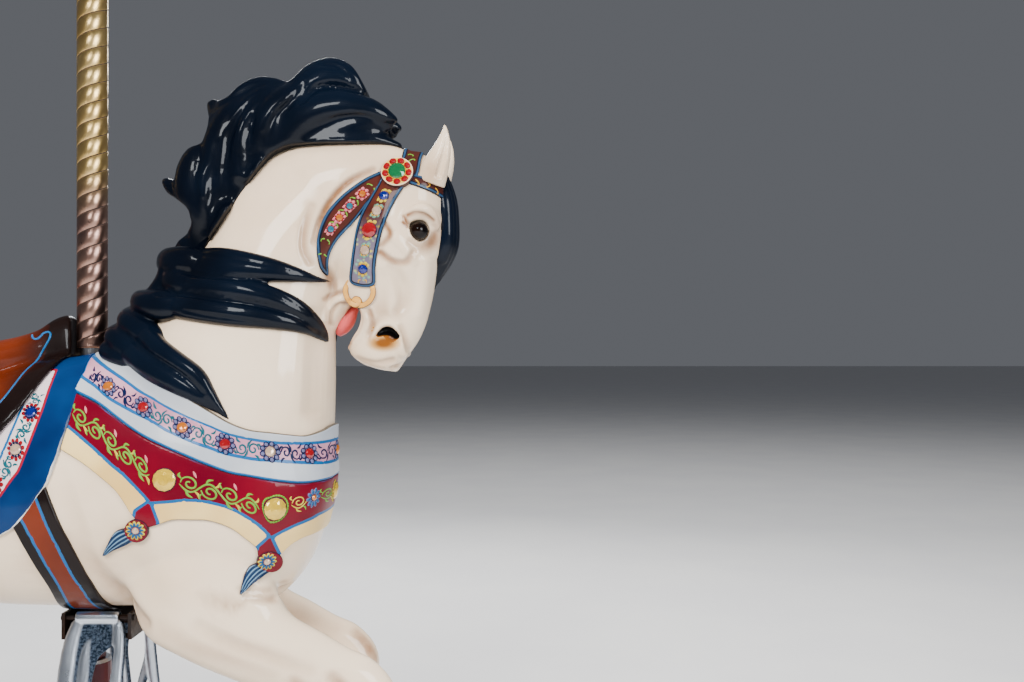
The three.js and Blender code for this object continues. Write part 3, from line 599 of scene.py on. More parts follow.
RIGHT_FORELEG = [
    [84, 640, 280, 750, 56, -80], [104, 584, 322, 668, 60, -92], [136, 530, 350, 596, 58, -101],
    [186, 502, 374, 562, 53, -107], [239, 478, 421, 536, 49, -110], [290, 458, 468, 509, 45, -111],
    [345, 438, 504, 493, 42, -112], [400, 420, 534, 464, 40, -112], [444, 406, 547, 434, 40, -112],
    [462, 400, 545, 404, 39, -112], [464, 392, 526, 372, 36, -112], [450, 384, 498, 350, 31, -112],
    [426, 374, 462, 330, 27, -112], [395, 354, 424, 308, 25, -112], [360, 334, 388, 284, 26, -112],
    [326, 322, 368, 256, 33, -112], [304, 300, 336, 244, 29, -112], [272, 292, 306, 230, 34, -112],
]
RIGHT_HIND_LEG = [
    [-430, -70, 800, 150, 70], [-440, -92, 715, 136, 72], [-458, -104, 640, 112, 64],
    [-505, -110, 575, 84, 52], [-562, -112, 526, 62, 43], [-598, -112, 484, 52, 39],
    [-602, -112, 440, 40, 34], [-600, -112, 380, 31, 29], [-597, -112, 325, 30, 28],
    [-592, -112, 282, 38, 34], [-600, -112, 250, 32, 31], [-622, -112, 228, 34, 35],
]
FORE_TRAIL, HIND_TRAIL, LEG_DROP = -60, -38, 5
LEFT_FORELEG = other_side(RIGHT_FORELEG, 5) + [FORE_TRAIL, -LEG_DROP, FORE_TRAIL, -LEG_DROP, 0, 0]
LEFT_HIND_LEG = other_side(RIGHT_HIND_LEG, 1) + [HIND_TRAIL, 0, 0, 0, 0]

HOOF = [[-8, 34, 35], [8, 38, 39], [24, 42, 42], [44, 46, 46], [50, 45, 45]]
FORE_CORONET, HIND_CORONET = [289, -112, 261], [-622, -112, 228]
FORE_HOOF_DROP, HIND_HOOF_DROP = -16, -24

# The trunk's skin and the neck's meet along this line, which the collar covers.
MEETING_LINE = [
    [-700, 1060], [-8, 1060], [30, 1012], [48, 985], [70, 962], [122, 916], [215, 872], [312, 828],
    [386, 816], [470, 822],
]
ABOVE_LINE = MEETING_LINE[2:] + [[700, 822], [700, 1500], [30, 1500]]
BELOW_LINE = [[-700, 100]] + MEETING_LINE + [[700, 822], [700, 100]]


def melt(surface, rounds, sharpness=0.03):
    """Fills the creases where forms meet with fillets, and leaves the rest."""
    sharp = surface.normals()
    soft = Surface(sharp.copy(), surface.faces)
    soft.relax(4)
    blurred = soft.points / np.maximum(np.linalg.norm(soft.points, axis=1, keepdims=True), 1e-9)
    bend = 1 - (sharp * blurred).sum(1)
    spread = Surface(np.repeat(np.clip(bend / sharpness, 0, 1)[:, None], 3, 1), surface.faces)
    spread.relax(8)
    return surface.relax(rounds, 0.6, np.clip(spread.points[:, 0] * 2.2, 0, 1))


# Gouge strokes on the trunk and legs: [x, z, reach, height, brown].
BODY_STROKES = [
    [[306, 603, 8, -3, 0.15], [330, 598, 8, -5, 0.3], [354, 595, 8, -5, 0.35], [372, 612, 7, -3, 0.15]],
    [[296, 616, 7, -1.5, 0.1], [322, 610, 7, -3, 0.25], [350, 607, 6, -2, 0.2]],
    [[30, 690, 26, -3, 0.1], [62, 640, 26, -6, 0.25], [96, 596, 22, -7, 0.3], [140, 560, 18, -6, 0.3]],
    [[96, 800, 40, 3, 0], [150, 700, 48, 5, 0], [196, 620, 40, 4, 0]],
    [[18, 800, 18, -2, 0], [40, 730, 18, -3, 0.1], [60, 660, 18, -2, 0]],
    [[-380, 900, 60, 4, 0], [-470, 860, 70, 6, 0], [-500, 760, 60, 5, 0], [-470, 660, 44, 3, 0]],
    [[-330, 620, 26, -4, 0.15], [-350, 700, 30, -6, 0.2], [-356, 780, 26, -3, 0]],
    [[-408, 592, 20, -4, 0.3], [-470, 560, 18, -5, 0.4], [-516, 540, 14, -3, 0.3]],
    [[-560, 500, 14, -4, 0.3], [-584, 446, 13, -5, 0.4], [-590, 380, 11, -4, 0.3], [-586, 320, 10, -2, 0.2]],
    [[-628, 480, 13, 3, 0], [-622, 430, 10, 3, 0], [-618, 370, 9, 2, 0]],
    [[448, 476, 12, -3, 0.35], [470, 452, 12, -5, 0.5], [488, 424, 11, -4, 0.4]],
    [[410, 446, 14, 3, 0], [452, 428, 16, 5, 0], [500, 414, 14, 4, 0]],
    [[470, 380, 10, -4, 0.4], [440, 368, 9, -4, 0.4], [404, 346, 8, -3, 0.3], [372, 320, 8, -2, 0.2]],
    [[236, 560, 16, -3, 0.1], [290, 532, 16, -5, 0.2], [350, 512, 14, -4, 0.2], [410, 488, 12, -2, 0.1]],
    [[318, 298, 9, -3, 0.4], [306, 278, 9, -4, 0.5], [300, 256, 9, -3, 0.4]],
]
BODY_TOP_STROKES = [[[-560, 0, 16, -5, 0.2], [-420, 0, 18, -6, 0.2], [-380, 0, 14, -2, 0]]]

# Gouge strokes on the head and neck.
HEAD_STROKES = [
    # throat creases behind the strap
    [[500, 1304, 7, -3, 0.3], [462, 1284, 7, -4, 0.55], [434, 1256, 7, -5, 0.6], [414, 1218, 8, -5, 0.5],
     [404, 1180, 9, -4, 0.3]],
    [[400, 1240, 9, -2, 0.15], [388, 1205, 9, -4, 0.35], [386, 1170, 9, -4, 0.4], [396, 1146, 9, -3, 0.35]],
    [[420, 1136, 9, -3, 0.5], [426, 1118, 9, -4, 0.5], [430, 1100, 8, -3, 0.3]],
    # brow ridge, lids and the corner of the eye
    [[552, 1216, 10, 2, 0], [562, 1232, 11, 5, 0], [582, 1240, 12, 6, 0], [600, 1234, 13, 4, 0.1],
     [610, 1216, 14, 3, 0.25], [612, 1192, 13, 4, 0.3], [610, 1166, 13, 3, 0.1]],
    [[553, 1224, 4, -2.5, 0.5], [558, 1216, 4, -3, 0.6], [563, 1208, 4, -2, 0.4]],
    [[552, 1214, 3, -1.5, 0.7], [558, 1207, 3, -1.5, 0.6]],
    [[560, 1226, 4, -2, 0.6], [572, 1230, 4, -2.5, 0.4], [588, 1228, 4, -2, 0.4], [602, 1219, 4, -2, 0.5]],
    [[564, 1182, 9, -1.5, 0.25], [580, 1174, 12, -2, 0.35], [596, 1181, 13, -2, 0.5],
     [604, 1196, 10, -1.5, 0.5]],
    # cheek bone and the hollow below it
    [[540, 1186, 13, 3, 0], [556, 1168, 12, 4, 0], [570, 1150, 11, 2, 0]],
    [[514, 1164, 7, -2, 0.6], [534, 1150, 7, -3, 0.5], [556, 1149, 7, -3, 0.4], [569, 1166, 7, -2, 0.3]],
    [[522, 1212, 6, -1.5, 0.5], [530, 1194, 6, -2, 0.6], [516, 1176, 6, -1.5, 0.4]],
    [[534, 1136, 16, -4, 0.1], [548, 1110, 18, -7, 0.1], [550, 1084, 15, -6, 0.2], [540, 1066, 12, -3, 0.3]],
    [[514, 1120, 20, -3, 0], [510, 1090, 18, -4, 0.1], [512, 1066, 16, -4, 0.3]],
    [[588, 1150, 14, 3, 0], [582, 1100, 14, 4, 0], [574, 1062, 14, 3, 0]],
    [[450, 1190, 24, 3, 0], [458, 1150, 26, 4, 0], [470, 1120, 20, 2, 0]],
    # nostril rim and wing
    [[494, 1018, 5, 2, 0], [502, 1034, 6, 4, 0], [514, 1044, 6, 5, 0], [528, 1045, 6, 5, 0],
     [540, 1036, 6, 4, 0], [547, 1022, 5, 2, 0]],
    [[490, 1030, 6, -2, 0.35], [504, 1052, 7, -3, 0.3], [524, 1058, 7, -2, 0.15], [542, 1052, 6, -1, 0.1]],
    [[543, 1014, 12, 5, 0], [546, 996, 13, 7, 0]],
    [[526, 969, 4, -2, 0.3], [540, 974, 4, -3.5, 0.4], [554, 981, 4, -2.5, 0.3]],
    [[545, 1040, 7, -2, 0.2], [552, 1018, 6, -3, 0.3], [556, 998, 5, -2, 0.2]],
    # lips
    [[478, 1072, 5, 3, 0.2], [484, 1054, 6, 4, 0.2], [480, 1034, 7, 4, 0.1], [468, 1016, 7, 4, 0],
     [456, 1004, 7, 4, 0]],
    [[492, 1066, 7, -3, 0.5], [497, 1046, 7, -3, 0.5], [490, 1024, 7, -2, 0.3]],
    [[470, 984, 8, -2, 0.2], [500, 977, 8, -3, 0.2], [530, 983, 7, -3, 0.3]],
    [[456, 1012, 5, 1, 0.6], [450, 998, 5, 0, 0.3]],
    # folds at the corner of the mouth and on the lower lip
    [[458, 1078, 5, -2, 0.5], [440, 1080, 5, -3, 0.4], [426, 1066, 5, -3, 0.4], [424, 1046, 5, -2, 0.4]],
    [[452, 1088, 6, 2, 0.1], [434, 1084, 6, 3, 0], [420, 1070, 6, 3, 0], [416, 1050, 6, 3, 0]],
    [[446, 1100, 6, -2, 0.5], [428, 1096, 6, -3, 0.5], [416, 1086, 5, -2, 0.4]],
    # soft planes of the neck
    [[200, 1150, 40, -3, 0], [280, 1220, 44, -4, 0], [360, 1290, 36, -3, 0]],
    [[400, 900, 20, -4, 0.15], [404, 980, 20, -5, 0.1], [404, 1060, 18, -3, 0.1]],
]
EYE = [577, 60, 1202, 16.4]
# the opening between the lids, pointed towards the muzzle side
EYE_OPENING = [
    [561, 1211], [567, 1217], [577, 1219], [587, 1217], [592, 1211], [592.5, 1202], [590, 1193], [584, 1187],
    [578, 1184], [572, 1187], [565, 1197],
]
EYELIDS = [
    [550, 60, 1208, 8, 5], [562, 61, 1226, 10, 10], [580, 58, 1234, 11, 14], [598, 50, 1227, 9, 11],
    [606, 40, 1208, 7, 7],
]
# the middles of the stain below the nostril and of its slot, and their reach
NOSTRIL = 516, 1012, 521, 1026, 27
# a deep arched slot, and the sloping floor below it
NOSTRIL_SLOT = [
    [499, 58, 1014, 4, 5], [504, 52, 1024, 5, 9], [512, 47, 1031, 6.5, 13], [523, 43, 1033, 7, 14],
    [534, 37, 1029, 6, 12], [542, 30, 1020, 4, 7],
]
NOSTRIL_FLOOR = [
    [497, 60, 1009, 3, 4], [505, 56, 1013, 8, 6], [515, 52, 1017, 11, 8], [526, 49, 1018, 11, 8],
    [536, 44, 1016, 8, 6], [543, 38, 1012, 4, 3],
]


def sided(rows, side, sides, **more):
    """A limb on the right or the left, from rows of [x, y outwards, z, half depth, half width]."""
    return limb([[x, side * y, *rest] for x, y, *rest in rows], sides, **more)


def eye_socket(side):
    low, high = sorted((side * 40, side * 110))
    return plate(smoothed(EYE_OPENING, 4, closed=True), low, high)


def head_surface():
    adds = [form(NECK, 56), form(SKULL, 48), limb(LOWER_JAW, 32), form(TRUNK, 64)]
    adds += [sided(EYELIDS, side, 20) for side in (RIGHT, LEFT)]
    cuts = [plate(smoothed(MOUTH, 4, closed=True), -140, 140)]
    cuts += [sided(rows, side, 20) for side in (RIGHT, LEFT) for rows in (NOSTRIL_SLOT, NOSTRIL_FLOOR)]
    cuts += [eye_socket(RIGHT), eye_socket(LEFT)]
    skin = block(adds, cuts, [plate(ABOVE_LINE, -200, 200)], voxel=2.5)
    melt(skin, 16, 0.05)
    skin.polish(2)
    skin.carve(HEAD_STROKES)
    uncut = form(SKULL, 48).tree()
    x, _, z = skin.points.T
    skin.fields["brown"] = skin.fields["brown"] + 0.08 * np.clip((z - 1120) / 120, 0, 1)
    stain_x, stain_z, slot_x, slot_z, reach = NOSTRIL
    # This field is the orange stain below the nostril up to 0.5; above 0.5 it is painted shade that turns
    # the deep part of the slot black.
    hollow = 0.5 * np.clip(1.3 - np.hypot((x - stain_x) / reach, (z - stain_z) / 14), 0, 1)
    for i in np.where((np.hypot(x - slot_x, z - slot_z) < reach) & (x > 494) & (z > 1006))[0]:
        spot, normal, _, away = uncut.find_nearest(Vector(skin.points[i]))
        depth = away * np.sign((spot - Vector(skin.points[i])) @ normal)
        if depth > 4:
            hollow[i] = max(hollow[i], 0.5 + np.clip((depth - 4) / 8, 0, 0.5))
    skin.fields["hollow"] = hollow
    return skin


def body_surface(parted):
    adds = [form(TRUNK, 64), form(NECK, 56)]
    adds += [form(leg, 40, power=2.1) for leg in (RIGHT_FORELEG, LEFT_FORELEG)]
    adds += [limb(leg) for leg in (RIGHT_HIND_LEG, LEFT_HIND_LEG)]
    skin = block(adds, (), [plate(BELOW_LINE, -260, 260)] if parted else (), voxel=4.8)
    melt(skin, 40)
    skin.polish(1)
    trailing = [np.array(s) + [FORE_TRAIL, -LEG_DROP, 0, 0, 0] for s in BODY_STROKES]
    left = skin.points[:, 1] > 0
    for strokes, mine in ((BODY_STROKES, ~left), (trailing, left)):
        other = skin.points.copy()
        skin.carve(strokes)
        skin.points[~mine] = other[~mine]
    skin.carve(BODY_TOP_STROKES, "top")
    skin.fields["hollow"] = np.zeros(len(skin.points))
    return skin


# Carved harness.

def clipped(surface, value, level=0.0):
    """The part of a surface where value is above level, cut exactly along it."""
    surface.triangles()
    v = value - level
    v = np.where(np.abs(v) < 1e-6, 1e-6, v)
    f, count = surface.faces, len(surface.points)
    kept = v[f] > 0
    ends = surface.links()
    crossing = ends[(v[ends[:, 0]] > 0) != (v[ends[:, 1]] > 0)]
    code = crossing[:, 0] * count + crossing[:, 1]
    share = v[crossing[:, 0]] / (v[crossing[:, 0]] - v[crossing[:, 1]])

    def cut_point(a, b):
        return count + np.searchsorted(code, np.minimum(a, b) * count + np.maximum(a, b))

    def turned(rows, first):
        k = np.arange(len(rows))
        return rows[k, first], rows[k, (first + 1) % 3], rows[k, (first + 2) % 3]

    a, b, c = turned(f[kept.sum(1) == 1], kept[kept.sum(1) == 1].argmax(1))
    d, e, g = turned(f[kept.sum(1) == 2], kept[kept.sum(1) == 2].argmin(1))
    faces = np.vstack([
        f[kept.all(1)], np.stack([a, cut_point(a, b), cut_point(a, c)], 1),
        np.stack([cut_point(d, e), e, g], 1), np.stack([cut_point(d, e), g, cut_point(d, g)], 1)])

    def more(values):
        first, second = values[crossing[:, 0]], values[crossing[:, 1]]
        weight = share if values.ndim == 1 else share[:, None]
        return np.concatenate([values, first + weight * (second - first)])

    fields = {name: more(values) for name, values in surface.fields.items()}
    whole = Surface(more(surface.points), faces, fields)
    return whole.part(np.ones(len(faces), bool))


SUNK = 3.0


def relief(skin, outline, thick, edge=3.0, finer=1, side=0, fields=None, dome=None, smooth=True, also=()):
    """A skin of harness over the horse, within an outline in the side view, with rounded edges, its rim sunk
    in what it lies on. fields are worked out from the points, and dome adds height from the distance to
    the edge."""
    outline = smoothed(outline, 5, closed=True) if smooth else np.asarray(outline, float)
    low, high = outline.min(0) - 14, outline.max(0) + 14
    p = skin.points
    near = ((p[:, [0, 2]] > low) & (p[:, [0, 2]] < high)).all(1)
    normal = skin.normals()
    near &= normal[:, 1] * np.sign(p[:, 1]) > -0.25
    if side:
        near &= p[:, 1] * side > -4
    base = Surface(p, skin.faces, {"nx": normal[:, 0], "ny": normal[:, 1], "nz": normal[:, 2]})
    base = base.part(near[skin.faces].all(1)).triangles()
    away = inside(base.points[:, [0, 2]], outline)
    base = base.part((away[base.faces] > -12).any(1))
    for _ in range(finer):
        base = base.finer()
    away = inside(base.points[:, [0, 2]], outline)
    for limit in also:
        away = np.minimum(away, limit(base.points))
    base.fields["edge"] = away
    top = clipped(base, base.fields["edge"], edge)
    n = np.stack([top.fields.pop(k) for k in ("nx", "ny", "nz")], 1)
    n /= np.linalg.norm(n, axis=1, keepdims=True)
    height = np.full(len(top.points), float(thick))
    if dome:
        height += dome(top.fields["edge"], top.points)
    for name, rule in (fields or {}).items():
        top.fields[name] = rule(top.points)
    rim = top.rim()
    turn = top.points[rim[:, 1]] - top.points[rim[:, 0]]
    turn /= np.maximum(np.linalg.norm(turn, axis=1, keepdims=True), 1e-9)
    out = np.zeros_like(top.points)
    for k in (0, 1):
        push = np.cross(turn, n[rim[:, k]])
        for axis in range(3):
            out[:, axis] += np.bincount(rim[:, k], push[:, axis], len(out))
    ring = np.unique(rim)
    out = out[ring] / np.maximum(np.linalg.norm(out[ring], axis=1, keepdims=True), 1e-9)
    base_ring, n_ring, h_ring = top.points[ring], n[ring], height[ring][:, None]
    fall = min(edge, thick)
    points, values = [top.points + n * height[:, None]], {k: [v] for k, v in top.fields.items()}
    faces, inner = [top.faces], np.full(len(top.points), -1)
    inner[ring] = ring
    start = len(top.points)
    for angle in (22.5, 45, 67.5, 90, None):
        if angle is None:
            row, step = base_ring + out * edge - n_ring * SUNK, -1.0
        else:
            s, c = math.sin(math.radians(angle)), math.cos(math.radians(angle))
            row, step = base_ring + out * edge * s + n_ring * (h_ring - fall * (1 - c)), edge * (1 - s)
        outer = np.full(len(inner), -1)
        outer[ring] = start + np.arange(len(ring))
        a, b = rim[:, 0], rim[:, 1]
        faces += [np.stack([inner[b], inner[a], outer[a]], 1), np.stack([inner[b], outer[a], outer[b]], 1)]
        points.append(row)
        for name in values:
            given = top.fields[name][ring]
            values[name].append(np.full(len(ring), step) if name == "edge" else given)
        inner, start = outer, start + len(ring)
    fields_all = {name: np.concatenate(parts) for name, parts in values.items()}
    return Surface(np.vstack(points), np.vstack(faces), fields_all)


# Places on the harness, and what is set or painted there.

def cast_side(tree, x, z, side):
    hit, normal, _, _ = tree.ray_cast(Vector((x, side * 400, z)), Vector((0, -side, 0)))
    if hit is None:
        hit, normal, _, _ = tree.find_nearest(Vector((x, side * 100, z)))
    return np.array(hit), np.array(normal)


class Band:
    """Places on a strip of harness, in millimetres along it and across from its middle."""

    def __init__(self, points, normals):
        self.points, self.normals = points, normals
        middle = points[:, points.shape[1] // 2]
        self.run = np.concatenate([[0], np.cumsum(np.linalg.norm(np.diff(middle, axis=0), axis=1))])
        self.widths = np.linalg.norm(points[:, 0] - points[:, -1], axis=1)

    def at(self, along, across=0.0):
        rows, columns = self.points.shape[:2]
        i = np.clip(np.interp(along, self.run, np.arange(rows)), 0, rows - 1.001)
        share = 0.5 + across / np.interp(i, np.arange(rows), self.widths)
        j = np.clip(share, -0.2, 1.2) * (columns - 1)
        i0, j0 = int(i), int(np.clip(j, 0, columns - 2))
        u, v = i - i0, j - j0

        def blend(grid):
            return ((grid[i0, j0] * (1 - v) + grid[i0, j0 + 1] * v) * (1 - u)
                    + (grid[i0 + 1, j0] * (1 - v) + grid[i0 + 1, j0 + 1] * v) * u)

        normal = blend(self.normals)
        return blend(self.points), normal / np.linalg.norm(normal)

    def where_x(self, x):
        return float(np.interp(x, self.points[:, self.points.shape[1] // 2, 0], self.run))


def side_band(tree, top, foot, side, rows):
    """A band between two lines in the side view."""
    u = np.linspace(0, 1, rows)

    def even(line):
        line = smoothed(line, 6)
        run = np.concatenate([[0], np.cumsum(np.linalg.norm(np.diff(line, axis=0), axis=1))])
        return np.stack([np.interp(u * run[-1], run, line[:, k]) for k in (0, 1)], 1)

    top, foot = even(top), even(foot)
    grid = [[cast_side(tree, *(a + (b - a) * w), side) for w in np.linspace(0, 1, 5)]
            for a, b in zip(top, foot)]
    return Band(np.array([[g[0] for g in row] for row in grid]),
                np.array([[g[1] for g in row] for row in grid]))


def ring_band(tree, top, foot, side, within):
    """A band along one side of the chest and round to the middle of the front, between two lines of the
    side view."""
    corner = 300
    stations = [(x, -90) for x in np.linspace(24, corner, 60)]
    stations += [(corner, degrees) for degrees in np.linspace(-90, 0, 46)[1:]]
    points, normals = [], []
    for axis_x, degrees in stations:
        way = Vector((math.cos(math.radians(degrees)), -side * math.sin(math.radians(degrees)), 0))
        row = []
        for k, share in enumerate(np.linspace(*within, 5)):
            x = points[-1][k][0] if points else axis_x
            for _ in range(5):
                upper, lower = (np.interp(x, edge[:, 0], edge[:, 1]) for edge in (top, foot))
                z = upper * (1 - share) + lower * share
                hit, normal, _, _ = tree.ray_cast(Vector((axis_x, 0, z)) + 500 * way, -way)
                if hit is None:
                    break
                x = hit.x
            row.append((hit, normal))
        if all(hit is not None for hit, _ in row):
            points.append([np.array(hit) for hit, _ in row])
            normals.append([np.array(normal) for _, normal in row])
    return Band(np.array(points), np.array(normals))


PALETTE = {
    "navy": (0.004, 0.01, 0.045), "teal": (0.004, 0.09, 0.12), "leaf": (0.13, 0.33, 0.03),
    "pink": (0.62, 0.16, 0.19), "gold": (0.6, 0.3, 0.015), "red": (0.24, 0.002, 0.006),
    "blue": (0.008, 0.09, 0.23), "slate": (0.13, 0.13, 0.26), "straw": (0.52, 0.4, 0.04),
    "line": (0.006, 0.11, 0.30), "mint": (0.12, 0.28, 0.2),
}
GLASS = {
    "ruby": (0.36, 0.003, 0.008), "amber": (0.6, 0.16, 0.008), "pearl": (0.62, 0.42, 0.29),
    "sapphire": (0.002, 0.012, 0.2), "emerald": (0.008, 0.16, 0.05), "topaz": (0.78, 0.5, 0.03),
    "aqua": (0.02, 0.17, 0.25),
}


def tone(table, name):
    return (list(table).index(name) + 0.5) / len(table)


def on_band(band, along, across=0.0):
    """Places round a point of a band: a function from two offsets to a point and its normal."""
    return lambda a, b: band.at(along + a, across + b)


def on_plane(point, normal, ahead):
    """Places round a point of a flat face."""
    ahead = ahead - normal * (ahead @ normal)
    ahead = ahead / np.linalg.norm(ahead)
    across = np.cross(normal, ahead)
    return lambda a, b: (point + a * ahead + b * across, normal)


def framed(spot):
    """The middle of a place, and its axes: along, across and out."""
    point, normal = spot(0, 0)
    ahead = spot(2, 0)[0] - spot(-2, 0)[0]
    ahead = ahead - normal * (ahead @ normal)
    ahead = ahead / np.linalg.norm(ahead)
    return point, np.stack([ahead, np.cross(normal, ahead), normal])


PAINT_LIFT = 0.7


def ribbon(spots, halves, colour):
    """A painted line through places of a surface, a little proud of it, with tapering half widths."""
    points, normals = (np.array([s[k] for s in spots]) for k in (0, 1))
    run = np.gradient(points, axis=0)
    run /= np.maximum(np.linalg.norm(run, axis=1, keepdims=True), 1e-9)
    side = np.cross(normals, run)
    profile = np.array([[-1, -0.5], [-0.75, 0.7], [0, 1.0], [0.75, 0.7], [1, -0.5]])
    grid = points[:, None] + side[:, None] * profile[None, :, :1] * np.asarray(halves)[:, None, None] \
        + normals[:, None] * profile[None, :, 1:] * PAINT_LIFT
    count, wide = grid.shape[:2]
    index = np.arange(count * wide).reshape(count, wide)
    quads = np.stack([index[:-1, :-1], index[1:, :-1], index[1:, 1:], index[:-1, 1:]], -1).reshape(-1, 4)
    flat = grid.reshape(-1, 3)
    return Surface(flat, quads, {"tone": np.full(len(flat), tone(PALETTE, colour))}).triangles()


def stroke(band, rows, colour):
    """A painted line on a band: rows are [along, across in mm from the middle, half width]."""
    rows = smoothed(rows, 4)
    return ribbon([band.at(a, b) for a, b, _ in rows], rows[:, 2], colour)


def side_stroke(tree, rows, side, colour):
    """A painted line in the side view: rows are [x, z, half width]."""
    rows = smoothed(rows, 6)
    return ribbon([cast_side(tree, x, z, side) for x, z, _ in rows], rows[:, 2], colour)


def curl(start, heading, length, bend, width):
    """Rows of a scroll, from a place and a heading in degrees, that winds from one bend to another."""
    steps = 9
    at, angle = np.array(start, float), math.radians(heading)
    rows = []
    for i in range(steps):
        share = i / (steps - 1)
        taper = width * (1 - 0.65 * share) if i else width * 0.5
        rows.append([*at, taper])
        angle += math.radians(bend[0] + (bend[1] - bend[0]) * share) / steps
        at = at + length / steps * np.array([math.cos(angle), math.sin(angle)])
    rows[-1][2] = width * 0.75
    return rows


def spiral(middle, wide, high, start, turns, width):
    """Rows of a curl round a middle, from a start angle in degrees; negative turns run backwards."""
    u = np.linspace(0, 1, 14)
    angle = math.radians(start) + 2 * math.pi * turns * u
    reach = 1 - 0.8 * u
    return np.stack([middle[0] + wide * reach * np.cos(angle), middle[1] + high * reach * np.sin(angle),
                     width * (0.5 + 0.6 * np.sin(np.pi * (0.1 + 0.8 * u)))], 1)


def scroll(band, start, length, half, colour, flip=1, width=1.2):
    """Two open curls back to back, with leaves between and beyond them."""
    rows = []
    for s in (1, -1):
        place = lambda x, y: [start + (1 + s * x) * length / 2, s * flip * y * half]
        rows.append(spiral(place(0.47, -0.05), 0.47 * length / 2, 0.6 * half, 90 - 90 * s, -1.25 * flip,
                           width))
        for leaf in ([(-0.02, -0.05), (0.06, -0.5), (0.36, -0.92)], [(0.62, 0.5), (0.86, 0.62), (1.02, 1.0)],
                     [(0.72, -0.5), (0.95, -0.55), (1.12, -0.2)]):
            rows.append([[*place(x, y), w * width] for (x, y), w in zip(leaf, (0.5, 1.3, 0.3))])
    return [stroke(band, r, colour) for r in rows]


def vine(band, start, end, half, colour, waves, width, middle=0.0, tips="straw"):
    """A winding stem with an open curl in each bend and leaves outside it."""
    step = (end - start) / waves
    swing = 0.55 * half
    stem = [[start + step * u, middle + swing * math.sin(math.pi * u), width]
            for u in np.linspace(0, waves, 4 * waves + 1)]
    stem[0][2] = stem[-1][2] = 0.4 * width
    rows, leaves = [stem], []
    for k in range(waves):
        s = 1 if k % 2 == 0 else -1
        place = lambda u, v: [start + step * (k + u), middle + s * v * half]
        rows.append(spiral(place(0.5, -0.16), 0.44 * step, 0.66 * half, 180, 1.3 * s, width))
        for leaf in ([(0.3, 0.45), (0.42, 0.85), (0.66, 1.0)], [(0.74, 0.4), (0.92, 0.62), (0.96, 0.95)],
                     [(0.1, -0.5), (-0.04, -0.75), (0.04, -1.0)]):
            leaves.append([[*place(u, v), w * width] for (u, v), w in zip(leaf, (0.5, 1.4, 0.3))])
    return [stroke(band, r, colour) for r in rows] + [stroke(band, r, tips if i % 3 == 1 else colour)
                                                      for i, r in enumerate(leaves)]


def petals(spot, count, inner, outer, colour, lift=1.0, wide=0.9):
    """A ring of small raised petals."""
    out = []
    middle, reach = (inner + outer) / 2, (outer - inner) / 2
    half = wide * math.pi * middle / count
    ring = [(reach * math.cos(b), half * math.sin(b)) for b in np.arange(10) * math.pi / 5]
    shape = [[0, 0, lift], *([0.9 * a, 0.9 * b, 0.6 * lift] for a, b in ring),
             *([a, b, -0.4] for a, b in ring)]
    faces = [[0, 1 + i, 1 + (i + 1) % 10] for i in range(10)]
    for i in range(10):
        a, b = 1 + i, 1 + (i + 1) % 10
        faces += [[a, a + 10, b + 10], [a, b + 10, b]]
    for k in range(count):
        c, s = math.cos(2 * math.pi * k / count), math.sin(2 * math.pi * k / count)
        points = []
        for a, b, h in shape:
            point, normal = spot(c * (middle + a) - s * b, s * (middle + a) + c * b)
            points.append(point + h * normal)
        out.append(Surface(points, faces, {"tone": np.full(len(points), tone(PALETTE, colour))}))
    return out


def jewel(spot, radius, glass, height=0.55, facets=12):
    """A cut glass jewel: a girdle, a crown of facets and a table."""
    point, axes = framed(spot)
    rings = [(1.0, -0.15), (1.0, 0.12), (0.82, 0.6 * height), (0.5, 0.92 * height)]
    spots, faces = [], []
    for k, (r, h) in enumerate(rings):
        for i in range(facets):
            a = 2 * math.pi * (i + 0.5 * (k % 2)) / facets
            spots.append([radius * r * math.cos(a), radius * r * math.sin(a), radius * h])
    spots.append([0, 0, radius * height])
    for k in range(len(rings) - 1):
        for i in range(facets):
            a, b = k * facets + i, k * facets + (i + 1) % facets
            c, d = a + facets, b + facets
            faces += [[a, b, c], [b, d, c]] if k % 2 == 0 else [[a, b, d], [a, d, c]]
    last = (len(rings) - 1) * facets
    faces += [[last + i, last + (i + 1) % facets, len(spots) - 1] for i in range(facets)]
    return Surface(point + (np.array(spots) + [0, 0, 0.7]) @ axes, faces,
                   {"tone": np.full(len(spots), tone(GLASS, glass))})


def hoop(grid):
    """A closed ring of a grid of points: rows go round it, columns round its wire."""
    index = np.arange(grid[..., 0].size).reshape(grid.shape[:2])
    ahead = np.roll(index, -1, 0)
    quads = np.stack([index, ahead, np.roll(ahead, -1, 1), np.roll(index, -1, 1)], -1)
    return Surface(grid.reshape(-1, 3), quads.reshape(-1, 4)).triangles()


def bezel(spot, radius, wire, colour):
    """A raised ring round a jewel."""
    point, axes = framed(spot)
    rows = []
    for i in range(24):
        a = 2 * math.pi * i / 24
        out = np.array([math.cos(a), math.sin(a), 0])
        rows.append([out * (radius + wire * math.cos(b)) + [0, 0, wire * 0.8 * math.sin(b)]
                     for b in np.arange(8) * math.pi / 4])
    ring = hoop(point + np.array(rows) @ axes)
    ring.fields["tone"] = np.full(len(ring.points), tone(PALETTE, colour))
    return ring


class Ornament:
    """The painted and jewelled trimmings of one piece of harness."""

    def __init__(self):
        self.painted, self.jewels = [], []

    def set_jewel(self, spot, radius, glass, setting=(), height=0.55, facets=12, wire=0.9, rim="navy"):
        """setting: (petals, inner radius, outer radius, colour, lift, width share) for each ring of them."""
        for ring in setting:
            self.painted += petals(spot, *ring)
        self.painted.append(bezel(spot, radius, wire, rim))
        self.jewels.append(jewel(spot, radius, glass, height, facets))

    def paint(self, strokes):
        self.painted += strokes

    def finish(self, name):
        shown(f"{name}_painted_scrolls", joined(self.painted), PAINTWORK, "white_enamel")
        if self.jewels:
            shown(f"{name}_jewels", joined(self.jewels), JEWEL_GLASS, "jewel_glass", smooth=False)


# Materials.

